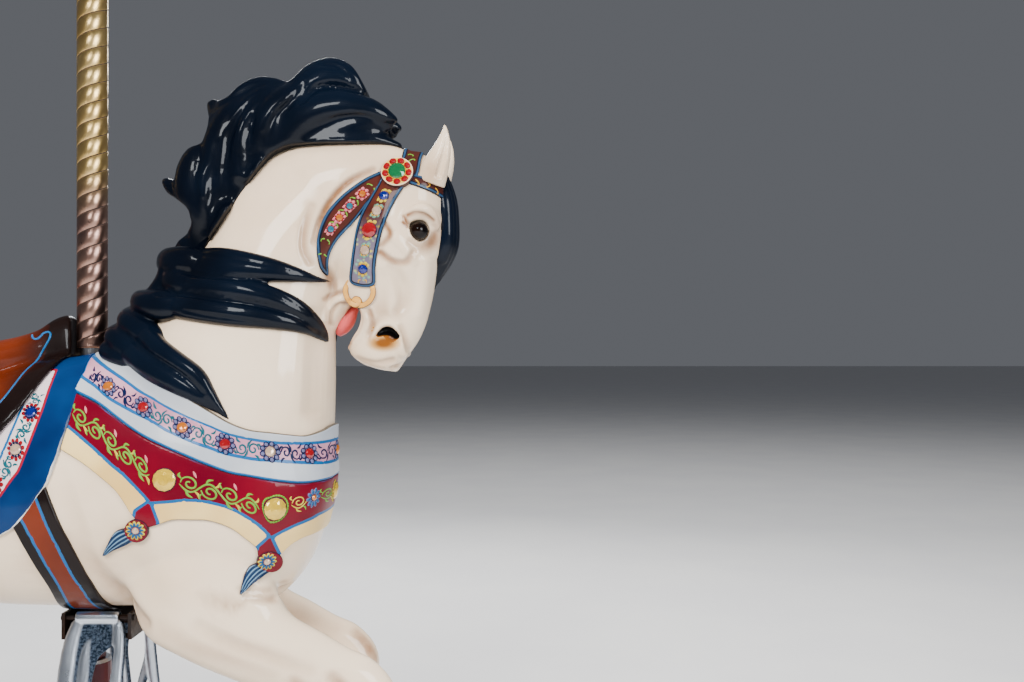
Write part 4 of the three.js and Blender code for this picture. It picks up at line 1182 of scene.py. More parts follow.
def gloss(name, colour_of, rough=0.4, coat=0.28, coat_rough=0.06, bump=0.0003, specular=0.08):
    """An enamel: colour_of(paint) gives its colour, under a clear coat with a brushed unevenness."""
    even = {} if callable(coat) else {"Coat_Weight": coat}
    paint = Paint(name, Coat_Roughness=coat_rough, Specular_IOR_Level=specular, **even)
    varied = {"Coat_Weight": coat(paint)} if callable(coat) else {}
    paint.wear(Base_Color=colour_of(paint), Roughness=paint.noise(40, 4) * 0.2 + (rough - 0.1), **varied)
    paint.bump(paint.noise(60, 3) + paint.noise(9, 2) * 4, bump)
    return paint.material


def cream_colour(paint):
    cloudy = paint.noise(5, 3).ramp(0.35, 0.7)
    cream = paint.mix(cloudy, (0.80, 0.635, 0.465), (0.72, 0.55, 0.385))
    brown = (paint.field("brown") * (paint.noise(60, 3) * 0.9 + 1.1)).least(1).most(0)
    shaded = paint.mix(brown, cream, (0.23, 0.10, 0.04))
    hollow = paint.field("hollow")
    shaded = paint.mix(hollow.ramp(0.0, 0.3), shaded, (0.50, 0.27, 0.09))
    shaded = paint.mix(hollow.ramp(0.2, 0.5), shaded, (0.18, 0.055, 0.006))
    # painted shade: the deep part of the nostril is painted black
    shaded = paint.mix(hollow.ramp(0.55, 0.9), shaded, (0.004, 0.003, 0.003))
    chips = (paint.noise(38, 2, 0.5)).ramp(0.80, 0.82)
    return paint.mix(chips * 0.8, shaded, (0.05, 0.04, 0.035))


def black_colour(paint):
    deep = paint.noise(6, 2).ramp(0.3, 0.7)
    return paint.mix(deep, (0.0008, 0.0016, 0.004), (0.0015, 0.004, 0.010))


def by_tone(table):
    def colour(paint):
        stops = [(i / len(table), c) for i, c in enumerate(table.values())]
        ramp = paint.node("ShaderNodeValToRGB", {"stops": stops}, {"Fac": paint.field("tone")})
        grain = paint.noise(90, 3).ramp(0.2, 0.9)
        darker = paint.node("ShaderNodeVectorMath", {"operation": "SCALE"}, {0: ramp, "Scale": 0.75})
        return paint.mix(grain, darker, ramp)
    return colour


def band_line(paint, field, at, half=1.3):
    """1 on a painted line at a distance in a field."""
    wobble = paint.noise(30, 2) * 0.8 - 0.4
    return 1 - (paint.field(field) + wobble - at).size().ramp(half, half + 0.5)


def side_of(paint, field, at):
    return (paint.field(field) - at).ramp(-0.4, 0.4)


def lace_colour(paint):
    """Grey-lilac with small spots of mint and straw, the ground of the cheek strap."""
    spots = paint.cells(130).ramp(0.15, 0.45)
    lace = paint.mix(paint.noise(50, 2).ramp(0.4, 0.6), (0.45, 0.36, 0.06), (0.12, 0.26, 0.22))
    return paint.mix(spots, lace, (0.12, 0.10, 0.14))


LINE_BLUE = (0.005, 0.085, 0.24)


def collar_colour(paint):
    white = paint.mottled((0.43, 0.45, 0.48), (0.33, 0.36, 0.41), 8)
    lilac = paint.mottled((0.52, 0.26, 0.34), (0.35, 0.14, 0.21), 11, 2)
    top, foot = paint.field("lilac_top"), paint.field("lilac_foot")
    within = (1 - top.ramp(-0.5, 0.5)) * foot.ramp(-0.5, 0.5)
    colour = paint.mix(within, white, lilac)
    for height in (top, foot):
        colour = paint.mix(1 - height.size().ramp(2.2, 2.9), colour, LINE_BLUE)
    rim = 1 - side_of(paint, "edge", 3.6)
    lower = 1 - top.ramp(-1, 1)
    colour = paint.mix(rim * lower, colour, LINE_BLUE)
    return paint.mix((1 - side_of(paint, "edge", 1.2)) * (1 - lower), colour, (0.1, 0.08, 0.06))


def apron_colour(paint):
    crimson = paint.mottled((0.14, 0.0006, 0.010), (0.09, 0.0004, 0.008), 8)
    cream = paint.mottled((0.80, 0.58, 0.24), (0.60, 0.38, 0.12), 7, 2, 0.75)
    colour = paint.mix(side_of(paint, "crimson", 0), cream, crimson)
    colour = paint.mix(band_line(paint, "crimson", 0, 2.1), colour, LINE_BLUE)
    return paint.mix(1 - side_of(paint, "edge", 0.7), colour, (0.03, 0.02, 0.02))


def cloth_colour(paint):
    blue = paint.mottled((0.0003, 0.009, 0.052), (0.0005, 0.028, 0.11), 6)
    white = paint.mottled((0.66, 0.56, 0.56), (0.54, 0.45, 0.48), 8)
    colour = paint.mix(side_of(paint, "edge", 48), blue, white)
    colour = paint.mix(band_line(paint, "edge", 49, 1.8), colour, (0.26, 0.004, 0.02))
    colour = paint.mix(band_line(paint, "edge", 84, 1.8), colour, LINE_BLUE)
    scuffed = 1 - side_of(paint, "edge", paint.noise(26, 3) * 8 - 1.6)
    return paint.mix(scuffed * (1 - paint.field("fore").ramp(780, 900)), colour, (0.66, 0.64, 0.60))


def leather_colour(border, line, fade=None):
    """Dark brown at the border, a blue line, and rust within, which may fade out forwards."""
    def colour(paint):
        dark = paint.mottled((0.007, 0.0035, 0.003), (0.004, 0.002, 0.002), 9)
        rust = paint.mottled((0.125, 0.017, 0.0035), (0.075, 0.010, 0.0025), 7)
        within = side_of(paint, "edge", border)
        if fade:
            ahead = paint.node("ShaderNodeSeparateXYZ", {}, {"Vector": paint.place()}, out=0)
            return paint.mix(within * (1 - ahead.ramp(*fade)), dark, rust)
        return paint.mix(band_line(paint, "edge", border + line, 1.9), paint.mix(within, dark, rust),
                         LINE_BLUE)
    return colour


def strap_colour(paint):
    height = paint.node("ShaderNodeSeparateXYZ", {}, {"Vector": paint.place()}, out=2)
    brown = paint.mottled((0.065, 0.014, 0.009), (0.035, 0.009, 0.007), 12)
    laced = paint.field("lace") * (1 - height.ramp(1.17, 1.235))
    ground = paint.mix(laced, brown, lace_colour(paint))
    rim = 1 - side_of(paint, "edge", 4.6)
    colour = paint.mix(rim, ground, (0.018, 0.05, 0.105))
    colour = paint.mix(band_line(paint, "edge", 5.0, 0.7), colour, (0.004, 0.005, 0.012))
    return paint.mix(1 - side_of(paint, "edge", 1.1), colour, (0.004, 0.005, 0.012))


def tassel_colour(paint):
    hair = paint.mix(paint.field("strand").ramp(0.55, 0.85), (0.004, 0.02, 0.06), (0.12, 0.22, 0.33))
    red = paint.mottled((0.15, 0.002, 0.012), (0.09, 0.001, 0.009), 9, 2)
    colour = paint.mix(side_of(paint, "disc", 0), hair, red)
    return paint.mix(1 - side_of(paint, "edge", 0.8), colour, (0.02, 0.01, 0.02))


def metal(name, bright, dull, rough, scale, bump):
    paint = Paint(name, Metallic=1.0)
    paint.wear(Base_Color=paint.mottled(bright, dull, scale / 3),
               Roughness=paint.noise(scale, 4) * 0.3 + (rough - 0.15))
    paint.bump(paint.noise(scale * 2, 4), bump)
    return paint.material


def jewel_glass():
    paint = Paint("jewel_glass", Coat_Weight=1.0, Coat_Roughness=0.02, Metallic=0.35, IOR=1.6)
    paint.wear(Base_Color=by_tone(GLASS)(paint), Roughness=paint.noise(80, 2) * 0.1 + 0.06)
    paint.bump(paint.noise(120, 1), 0.0001)
    return paint.material


def dark_glass():
    paint = Paint("dark_glass", Coat_Weight=0.3, Coat_Roughness=0.02, IOR=1.35, Specular_IOR_Level=0.1)
    iris = paint.noise(30, 3).ramp(0.3, 0.8)
    paint.wear(Base_Color=paint.mix(iris, (0.001, 0.001, 0.0015), (0.006, 0.002, 0.001)),
               Roughness=iris * 0.05 + 0.06)
    paint.bump(paint.noise(20, 1), 0.0001)
    return paint.material


def rosette_colour(paint):
    rim = paint.field("rim")
    cream = paint.mix(paint.noise(20, 2), (0.80, 0.60, 0.42), (0.66, 0.44, 0.28))
    colour = paint.mix((rim - 15.5).ramp(-0.5, 0.5) * (1 - (rim - 25.2).ramp(-0.5, 0.5)), cream,
                       (0.62, 0.36, 0.06))
    return paint.mix((rim - 26.9).ramp(-0.4, 0.4), colour, (0.05, 0.02, 0.02))


def gilt_colour(paint):
    gold = paint.mottled((0.74, 0.42, 0.12), (0.6, 0.28, 0.05), 12)
    return paint.mix(paint.field("rim").ramp(0.78, 0.95), gold, (0.14, 0.05, 0.01))


def hoof_colour(paint):
    brown = paint.mottled((0.09, 0.03, 0.018), (0.045, 0.016, 0.01), 10, stretch=(0.3, 1, 1))
    gold = paint.mottled((0.62, 0.38, 0.12), (0.45, 0.24, 0.06), 16)
    return paint.mix((paint.field("along") - 40).ramp(-0.5, 0.5), brown, gold)


def twisted_brass():
    paint = Paint("twisted_brass")
    height = paint.node("ShaderNodeSeparateXYZ", {}, {"Vector": paint.place()}, out=2)
    worn = 1 - (height + (paint.noise(6, 2) * 0.12 - 0.06)).ramp(1.22, 1.33)
    gold = paint.mottled((0.96, 0.68, 0.28), (0.82, 0.53, 0.18), 14)
    copper = paint.mottled((0.47, 0.28, 0.21), (0.31, 0.18, 0.15), 18, 4)
    colour = paint.mix(worn, gold, copper)
    groove = paint.field("groove").ramp(0.1, 0.5)
    colour = paint.mix(groove, colour, (0.02, 0.01, 0.006))
    paint.wear(Base_Color=colour, Metallic=1 - groove,
               Roughness=paint.noise(60, 4) * 0.2 + 0.22 + groove * 0.4)
    paint.bump(paint.noise(80, 4), 0.0004)
    return paint.material


def sand_cast():
    """Aluminium with polished ribs and a rough skin between them."""
    paint = Paint("sand_cast_aluminium", Metallic=1.0)
    web = paint.field("web")
    bright = paint.mottled((0.72, 0.77, 0.84), (0.52, 0.57, 0.65), 14, 4)
    grain = paint.noise(260, 4)
    dull = paint.mix(grain.ramp(0.35, 0.7), (0.012, 0.022, 0.04), (0.12, 0.16, 0.22))
    paint.wear(Base_Color=paint.mix(web, bright, dull),
               Roughness=paint.noise(30, 4) * 0.25 + 0.2 + web * 0.25)
    paint.bump(grain * web * 3 + paint.noise(70, 3) * 0.4, 0.0008)
    return paint.material


CREAM = gloss("cream_enamel", cream_colour, rough=0.42,
              coat=lambda paint: 0.75 - paint.field("hollow") * 0.7, coat_rough=0.08,
              bump=0.00025)
BLACK = gloss("black_enamel", black_colour, rough=0.34, coat=0.3, coat_rough=0.05, bump=0.0003,
              specular=0.05)
PAINTWORK = gloss("painted_ornament", by_tone(PALETTE), rough=0.4, bump=0.0001)
JEWEL_GLASS = jewel_glass()
DARK_GLASS = dark_glass()
PINK = gloss("pink_enamel", lambda p: p.mottled((0.62, 0.09, 0.09), (0.42, 0.04, 0.05), 14, 3, 0.75))
TASSEL = gloss("tassel_enamel", tassel_colour)
ROSETTE_PAINT = gloss("rosette_enamel", rosette_colour)
GILT = gloss("gilt_enamel", gilt_colour)
HOOF_PAINT = gloss("hoof_enamel", hoof_colour)
BRASS = twisted_brass()
CASTING = sand_cast()
MAROON = gloss("maroon_paint", lambda p: p.mottled((0.09, 0.008, 0.014), (0.05, 0.006, 0.010), 9, 4))
RUSTY = metal("rusty_bracket_iron", (0.05, 0.045, 0.045), (0.035, 0.018, 0.012), 0.5, 60, 0.0006)
STEEL = metal("steel", (0.52, 0.53, 0.55), (0.36, 0.36, 0.38), 0.34, 30, 0.0002)
IRON = gloss("black_iron", lambda p: p.mottled((0.02, 0.02, 0.022), (0.035, 0.033, 0.03), 14, 4),
             rough=0.5, coat=0.3, coat_rough=0.3)

set_camera()
light_studio()


# The horse.

head = head_surface()
body = body_surface(True)
harness_skin = body_surface(False)
head_tree = head.tree()

shown("head_and_neck", head, CREAM, "cream_enamel", "head", "neck", share=0.5)
shown("trunk_and_legs", body, CREAM, "cream_enamel", "trunk", "right_foreleg", "left_foreleg",
      "right_hind_leg", "left_hind_leg", share=0.45)


def make_ear(side, name):
    ear = block([sided(EAR, side, 28)], [sided(EAR_SCOOP, side, 20)], voxel=1.7)
    melt(ear, 6, 0.05)
    middle = ear.points[:, 2]
    inward = np.clip((np.abs(ear.points[:, 1]) - 50) / 14, 0, 1) * np.clip((1345 - middle) / 40, 0, 1)
    ear.fields = {"brown": 0.35 * inward, "hollow": np.zeros(len(middle))}
    shown(f"{name}_carved_ear", ear, CREAM, "cream_enamel", f"{name}_ear", share=0.5)


def make_eye(side, name):
    x, y, z, r = EYE
    y *= side
    rows = []
    for i in range(1, 24):
        tilt = math.pi * i / 24
        bulge = 0.8 * bell(tilt / 0.7)
        rows.append([[x + (r + bulge) * math.sin(tilt) * math.cos(a),
                      y + side * (r + bulge) * math.cos(tilt),
                      z + (r + bulge) * math.sin(tilt) * math.sin(a)]
                      for a in 2 * np.pi * np.arange(40) / 40])
    shown(f"{name}_glass_eye", rings_closed(np.array(rows)), DARK_GLASS, "dark_glass", f"{name}_eye")


def make_tongue():
    tongue = block([limb(TONGUE, 32)], voxel=1.8)
    tongue.carve([[[458, 1076, 5, -1, 0], [446, 1056, 5, -1.6, 0.3], [436, 1040, 4, -1, 0]]])
    shown("carved_tongue", tongue, PINK, "pink_enamel", "tongue")


for side, name in SIDES:
    make_ear(side, name)
    make_eye(side, name)
make_tongue()


# Mane, forelock and tail: carved locks, each through [x, z, half width in the side view, half depth, y].

CREST_OUTLINE = [
    [560, 1346], [552, 1356], [542, 1367], [536, 1378], [537, 1388], [540, 1396], [539, 1402], [532, 1410],
    [518, 1419], [500, 1430], [487, 1437], [480, 1455], [459, 1489], [425, 1505], [390, 1499], [368, 1474],
    [354, 1460], [328, 1468], [300, 1470], [272, 1456], [250, 1434], [234, 1428], [214, 1436], [207, 1424],
    [214, 1398], [215, 1380], [206, 1354], [176, 1342], [162, 1316], [159, 1296], [131, 1296], [140, 1272],
    [164, 1256], [184, 1240], [189, 1222], [187, 1212], [163, 1189], [148, 1172], [150, 1146], [190, 1140],
    [216, 1178], [242, 1214], [276, 1265], [319, 1325], [338, 1339], [367, 1348], [456, 1351], [522, 1350],
    [552, 1340],
]
CREST_CORE = [
    [200, 1140, 130, 1150, 26, 0], [222, 1184, 150, 1196, 34, 0], [244, 1226, 170, 1250, 40, 0],
    [268, 1266, 182, 1310, 44, 0], [294, 1304, 220, 1372, 46, 0], [326, 1330, 262, 1420, 46, 0],
    [376, 1346, 328, 1446, 44, 0], [430, 1352, 404, 1470, 40, 0], [480, 1352, 462, 1440, 34, 0],
    [516, 1346, 520, 1384, 26, 0],
]
CREST_LOCKS = [
    # the bulb over the poll, the tongue that points forward, and the small lobe under it
    [[300, 1350, 34, 26, 28], [340, 1396, 36, 32, 28], [380, 1440, 40, 34, 24], [420, 1468, 38, 34, 18],
     [456, 1462, 30, 30, 12], [478, 1440, 14, 18, 10]],
    [[340, 1352, 30, 26, 36], [384, 1394, 38, 32, 40], [436, 1412, 35, 32, 40], [484, 1408, 26, 28, 38],
     [516, 1398, 17, 20, 34], [541, 1390, 5, 6, 30]],
    [[430, 1374, 14, 16, 44], [470, 1382, 13, 17, 44], [506, 1382, 9, 13, 38], [532, 1378, 4, 6, 32]],
    [[350, 1354, 24, 30, 30], [400, 1364, 22, 32, 30], [450, 1364, 18, 30, 30], [500, 1360, 14, 26, 26],
     [545, 1350, 8, 14, 16]],
    # the middle of the crest
    [[230, 1396, 18, 24, 24], [256, 1432, 22, 26, 22], [292, 1450, 22, 28, 18], [328, 1452, 20, 26, 16],
     [364, 1450, 14, 18, 14]],
    [[306, 1320, 30, 22, 38], [312, 1366, 32, 28, 44], [330, 1404, 30, 30, 42], [362, 1434, 26, 28, 34],
     [404, 1458, 12, 16, 28]],
    [[262, 1270, 30, 22, 36], [266, 1336, 35, 28, 40], [282, 1390, 35, 30, 38], [314, 1428, 29, 28, 30],
     [352, 1452, 12, 16, 22]],
    [[236, 1224, 28, 22, 34], [230, 1288, 34, 30, 36], [236, 1344, 34, 32, 36], [254, 1394, 30, 30, 32],
     [286, 1428, 20, 24, 26]],
    [[274, 1322, 7, 8, 60], [276, 1366, 9, 10, 62], [292, 1406, 7, 9, 56], [318, 1430, 2, 4, 48]],
    # the back of the neck
    [[222, 1176, 26, 22, 30], [204, 1230, 31, 28, 34], [190, 1280, 35, 32, 34], [196, 1324, 28, 30, 32],
     [214, 1352, 14, 18, 28]],
    [[234, 1196, 12, 12, 46], [218, 1244, 13, 14, 54], [214, 1290, 12, 14, 56], [228, 1334, 9, 11, 52],
     [242, 1374, 3, 6, 44]],
    [[222, 1340, 20, 24, 24], [228, 1386, 20, 22, 22], [224, 1412, 17, 18, 20], [214, 1430, 10, 11, 18]],
    [[206, 1150, 20, 22, 26], [196, 1200, 19, 22, 28], [180, 1240, 17, 18, 28], [160, 1268, 16, 18, 26],
     [144, 1284, 12, 13, 24], [131, 1293, 6, 7, 22]],
    [[190, 1150, 22, 24, 20], [178, 1176, 20, 24, 20], [162, 1186, 12, 16, 20], [148, 1174, 5, 7, 18]],
]
# the smooth edge of the mane along the neck: [x, z, half width, height]
CREST_HEM = [
    [196, 1178, 12, 14], [216, 1218, 16, 17], [244, 1260, 18, 19], [271, 1298, 18, 19], [302, 1340, 18, 18],
    [330, 1362, 16, 16], [363, 1372, 15, 16], [408, 1374, 15, 16], [453, 1372, 15, 15], [514, 1366, 11, 12],
    [550, 1350, 6, 7],
]
CREST_STROKES = [
    [[498, 1380, 5, -3, 0], [516, 1382, 5, -8, 0], [532, 1384, 5, -10, 0], [544, 1386, 5, -10, 0]],
    [[248, 1256, 8, -4, 0], [252, 1316, 10, -7, 0], [262, 1370, 10, -7, 0], [284, 1410, 8, -5, 0],
     [310, 1440, 6, -2, 0]],
    [[212, 1196, 7, -4, 0], [226, 1240, 8, -6, 0], [234, 1300, 8, -5, 0], [238, 1350, 6, -3, 0]],
    [[324, 1356, 9, -6, 0], [338, 1392, 10, -7, 0], [362, 1420, 8, -6, 0], [384, 1452, 6, -3, 0]],
    [[378, 1418, 8, -6, 0], [406, 1446, 9, -7, 0], [446, 1448, 8, -7, 0], [490, 1434, 6, -3, 0]],
    [[396, 1372, 7, -4, 0], [436, 1388, 8, -6, 0], [480, 1394, 7, -5, 0], [520, 1386, 5, -3, 0]],
    [[404, 1486, 7, -2, 0], [436, 1484, 8, -4, 0], [462, 1462, 6, -2, 0]],
    [[296, 1300, 6, -3, 0], [292, 1350, 7, -5, 0], [300, 1392, 7, -4, 0]],
]


def rooted(rows):
    """A lock with its root carried on into the neck."""
    reach = 34
    rows = np.array(rows, float)
    back = rows[0, :2] - rows[1, :2]
    root = rows[0].copy()
    root[:2] += reach * back / np.linalg.norm(back)
    return np.vstack([root, rows])


def make_crest():
    locks = [limb([[x, side * y, z, wide, deep] for x, z, wide, deep, y in rooted(rows)], 24, steps=5)
             for rows in CREST_LOCKS for side in (RIGHT, LEFT)]
    outline = smoothed(CREST_OUTLINE, 4, closed=True)
    hems = [lock_over(CREST_HEM, side) for side in (RIGHT, LEFT)]
    crest = block([form(CREST_CORE, 32), *locks, *hems], (), [plate(outline, -120, 120)], voxel=3.0)
    crest.carve(CREST_STROKES)
    melt(crest, 8, 0.05)
    crest.relax(2, 0.5)
    hem_line = smoothed([row[:2] for row in CREST_HEM], 6)
    away, _ = along_path(crest.points[:, [0, 2]], np.hstack([hem_line, np.zeros((len(hem_line), 1))]))
    tip = np.linalg.norm(crest.points[:, [0, 2]] - [516, 1378], axis=1)
    crest.relax(24, 0.6, np.maximum(bell(away / 30), 0.5 * bell(tip / 40)))
    shown("carved_mane_crest", crest, BLACK, "black_enamel", "mane_crest", share=0.6)


def lock_over(rows, side):
    """A lock that lies on the neck: rows are [x, z, half width, height] in the side view."""
    sunk = 0.35
    rows = smoothed(rows, 6)
    spots = [cast_side(head_tree, x, z, side) for x, z, _, _ in rows]
    points, normals = (np.array([s[k] for s in spots]) for k in (0, 1))
    for _ in range(3):
        normals[1:-1] = (normals[:-2] + 2 * normals[1:-1] + normals[2:]) / 4
    normals /= np.linalg.norm(normals, axis=1, keepdims=True)
    run = np.gradient(points, axis=0)
    run -= normals * (run * normals).sum(1, keepdims=True)
    run /= np.linalg.norm(run, axis=1, keepdims=True)
    across = np.cross(normals, run)
    c, s = oval(20, 2.5)
    lift = rows[:, 3:4] * (np.where(s > 0, s, s * sunk))[None, :]
    return rings_closed(points[:, None] + across[:, None] * (rows[:, 2:3] * c[None])[..., None]
                        + normals[:, None] * lift[..., None])


NECK_LOCKS = [
    # the upper sweep, which parts into two points
    [[190, 1146, 26, 16], [212, 1144, 29, 18], [250, 1142, 29, 19], [290, 1138, 26, 19],
     [340, 1131, 20, 18], [380, 1124, 12, 13], [404, 1119, 6, 8], [424, 1117, 2, 3]],
    [[180, 1116, 26, 20], [230, 1108, 24, 21], [290, 1098, 20, 20], [340, 1086, 18, 19],
     [378, 1068, 16, 17], [402, 1046, 11, 13], [416, 1026, 5, 6], [420, 1012, 1.5, 2]],
    [[164, 1078, 26, 20], [220, 1070, 26, 22], [280, 1061, 24, 21], [340, 1053, 20, 18],
     [384, 1042, 15, 14], [408, 1024, 7, 8], [419, 1012, 2, 2]],
    # the shoulder lock
    [[104, 1042, 18, 20], [124, 1029, 19, 22], [152, 1006, 18, 22], [188, 983, 17, 20], [225, 959, 15, 17],
     [243, 934, 12, 14], [260, 908, 8, 9], [278, 887, 2, 3]],
    [[66, 1012, 20, 18], [88, 1006, 22, 20], [120, 989, 23, 21], [156, 967, 22, 19], [196, 945, 18, 17],
     [232, 924, 12, 13], [262, 900, 4, 5]],
]
# where the locks come over the back of the neck: [x, y outwards, z, half width, half depth]
LOCK_ROOTS = [
    [[152, -4, 1150, 24, 34], [156, 26, 1150, 25, 33], [170, 54, 1148, 27, 30], [198, 78, 1144, 28, 20],
     [236, 84, 1142, 14, 8]],
    [[150, -4, 1120, 22, 30], [156, 30, 1120, 23, 30], [173, 62, 1117, 25, 27], [200, 84, 1112, 24, 20],
     [232, 92, 1108, 12, 8]],
    [[112, -4, 1080, 21, 35], [115, 32, 1080, 22, 34], [129, 66, 1077, 23, 31], [164, 92, 1073, 25, 20],
     [216, 100, 1070, 12, 8]],
    [[88, -4, 1050, 19, 32], [90, 34, 1048, 20, 31], [103, 66, 1040, 22, 29], [140, 90, 1018, 22, 20],
     [176, 104, 990, 10, 8]],
    [[64, -4, 1026, 16, 26], [66, 34, 1022, 18, 27], [78, 66, 1015, 20, 27], [112, 90, 996, 20, 20],
     [150, 106, 970, 10, 8]],
    [[158, 42, 1160, 20, 30], [150, 42, 1118, 22, 30], [128, 46, 1080, 24, 30], [104, 50, 1046, 22, 28],
     [80, 52, 1016, 20, 26], [66, 52, 996, 14, 20]],
    [[52, -4, 1006, 14, 18], [54, 30, 1002, 16, 20], [58, 58, 996, 17, 22], [90, 84, 988, 18, 18],
     [128, 100, 972, 10, 8]],
]
NECK_STROKES = [
    [[180, 1132, 6, -5, 0], [210, 1126, 7, -7, 0], [250, 1120, 6, -6, 0], [300, 1116, 5, -4, 0]],
    [[150, 1092, 6, -6, 0], [190, 1094, 7, -8, 0], [253, 1084, 6, -8, 0], [323, 1073, 6, -7, 0],
     [380, 1055, 5, -4, 0], [410, 1030, 4, -2, 0]],
    [[260, 1120, 4, -2, 0], [310, 1106, 4, -3, 0], [360, 1086, 4, -3, 0], [398, 1058, 3, -1, 0]],
    [[210, 1158, 4, -1.5, 0], [260, 1152, 5, -2, 0], [320, 1142, 4, -1.5, 0], [370, 1130, 3, -1, 0]],
    [[200, 1064, 5, -2, 0], [240, 1056, 6, -3, 0], [290, 1049, 6, -3, 0], [340, 1042, 4, -1.5, 0]],
    [[90, 1030, 5, -3, 0], [124, 1008, 6, -5, 0], [156, 988, 6, -5, 0], [200, 964, 5, -4, 0],
     [240, 930, 4, -2, 0]],
    [[110, 974, 5, -1.5, 0], [150, 952, 5, -2, 0], [190, 934, 5, -1.5, 0]],
]


def make_neck_locks():
    for side, name in SIDES:
        roots = [sided(rows, side, 24, power=2.4) for rows in LOCK_ROOTS]
        locks = block([lock_over(rows, side) for rows in NECK_LOCKS] + roots, voxel=2.8)
        locks.carve(NECK_STROKES)
        melt(locks, 5, 0.05)
        locks.relax(1, 0.5)
        shown(f"{name}_carved_locks", locks, BLACK, "black_enamel", f"{name}_mane_lock",
              f"{name}_shoulder_lock", share=0.6)


FORELOCK = [
    [596, 1326, 10, 16], [610, 1298, 18, 26], [622, 1262, 20, 34], [626, 1222, 20, 38], [625, 1184, 20, 36],
    [616, 1156, 17, 27], [604, 1130, 12, 15], [597, 1106, 3, 4],
]

# each strand's place across, its share of the length, and how far back it lies
FORELOCK_STRANDS = [
    (-0.72, 0.86, 6), (-0.42, 0.97, 1), (-0.12, 1.0, -2), (0.2, 0.96, -2), (0.5, 0.9, 1), (0.78, 0.8, 6),
]


def tapered(rows, sides):
    """A strand that is drawn in to a tip."""
    rows[-1, 3:] = 2
    rows[-2, 3:] *= 0.6
    return limb(rows, sides, steps=3)


def make_forelock():
    strands = []
    for offset, reach, back in FORELOCK_STRANDS:
        rows = smoothed([[x - back, offset * wide * (1 - 0.2 * i / 7), z, deep * 0.72, wide * 0.33]
                         for i, (x, z, deep, wide) in enumerate(FORELOCK)], 3)
        strands.append(tapered(rows[:int(len(rows) * reach)], 18))
    lock = block(strands, voxel=2.2)
    melt(lock, 2, 0.06)
    shown("carved_forelock", lock, BLACK, "black_enamel", "forelock", share=0.7)


TAIL = [
    [-596, 868, 22, 20], [-628, 890, 34, 34], [-668, 872, 46, 50], [-695, 810, 50, 60], [-700, 730, 48, 60],
    [-698, 650, 42, 52], [-712, 580, 32, 38], [-742, 525, 18, 20], [-762, 495, 5, 5],
]


def make_tail():
    strands = []
    for k in range(9):
        turn = 2 * math.pi * k / 9
        rows = []
        for i, (x, z, deep, wide) in enumerate(TAIL):
            wind = turn + 0.22 * i
            rows.append([x + 0.58 * deep * math.cos(wind), 0.6 * wide * math.sin(wind), z, deep * 0.42,
                         wide * 0.36])
        rows = smoothed(rows, 3)
        strands.append(tapered(rows[:len(rows) - (k * 5) % 7], 20))
    middle = limb([[x, 0, z, 0.66 * deep, 0.66 * wide] for x, z, deep, wide in TAIL], 24)
    tail = block([middle, *strands], voxel=3.2)
    melt(tail, 1, 0.06)
    shown("carved_tail", tail, BLACK, "black_enamel", "tail", share=0.7)


make_crest()
make_neck_locks()
make_forelock()
make_tail()

# Harness.

def line(rows):
    return smoothed(rows, 5)


def above_line(path):
    """Height of a point above a line of the side view."""
    return lambda points: points[:, 2] - np.interp(points[:, 0], path[:, 0], path[:, 1])


SADDLE_CLOTH = [
    [10, 1040], [18, 998], [27, 960], [29, 926], [26, 888], [15, 841], [-2, 790], [-18, 766], [-47, 727],
    [-78, 706], [-130, 690], [-200, 684], [-270, 694], [-326, 722], [-362, 766], [-378, 820], [-384, 880],
    [-384, 960], [-384, 1040],
]
SADDLE_FLAP = [
    [-22, 1080], [-23, 1015], [-25, 995], [-29, 969], [-39, 938], [-59, 896], [-83, 862], [-112, 826],
    [-146, 797], [-182, 778], [-225, 778], [-262, 802], [-286, 846], [-300, 892], [-330, 932], [-368, 952],
    [-374, 1000], [-374, 1080],
]
GIRTH = [
    [-112, 820], [-62, 868], [-36, 868], [-12, 800], [8, 745], [28, 690], [44, 640], [54, 600], [56, 500],
    [-30, 500], [-26, 560], [-20, 610], [-34, 660], [-56, 715],
]
COLLAR_FOOT = line([
    [20, 930], [29, 927], [69, 910], [122, 875], [155, 856], [215, 829], [250, 814], [281, 802], [312, 795],
    [346, 787], [386, 780], [420, 781], [450, 784],
])
COLLAR_TOP = line([
    [20, 1040], [42, 1020], [68, 1008], [124, 974], [179, 942], [213, 922], [250, 900], [278, 883],
    [308, 871], [339, 866], [368, 861], [389, 858], [409, 864], [420, 871], [450, 880],
])
APRON_FOOT = line([
    [16, 841], [46, 824], [79, 801], [104, 780], [121, 757], [131, 740], [151, 720], [170, 722], [194, 730],
    [222, 730], [251, 728], [282, 716], [303, 699], [320, 681], [324, 662], [350, 664], [368, 680],
    [384, 689], [401, 692], [450, 696],
])
# the crimson ends in three scallops, with corners at the ninth and the fifteenth row
CRIMSON_SCALLOPS = [
    [10, 884], [24, 877], [50, 858], [72, 841], [95, 821], [117, 803], [137, 783], [150, 769], [160, 757],
    [189, 759], [225, 761], [261, 755], [291, 743], [321, 722], [342, 697], [370, 711], [397, 721],
    [409, 726], [450, 730],
]
CRIMSON_TABS = [
    [[160, 762], [137, 746], [132, 717], [169, 714], [172, 727]],
    [[342, 702], [322, 684], [318, 660], [352, 655], [352, 668]],
]
TASSELS = {"front": ([337, 656], [299, 609]), "rear": ([139, 714], [81, 673])}
LILAC_TOP = line([
    [-6, 998], [10, 991], [45, 975], [76, 960], [103, 946], [128, 931], [153, 919], [177, 906], [201, 895],
    [224, 885], [248, 876], [271, 866], [293, 860], [316, 855], [337, 851], [359, 848], [399, 845],
    [420, 845], [460, 846],
])
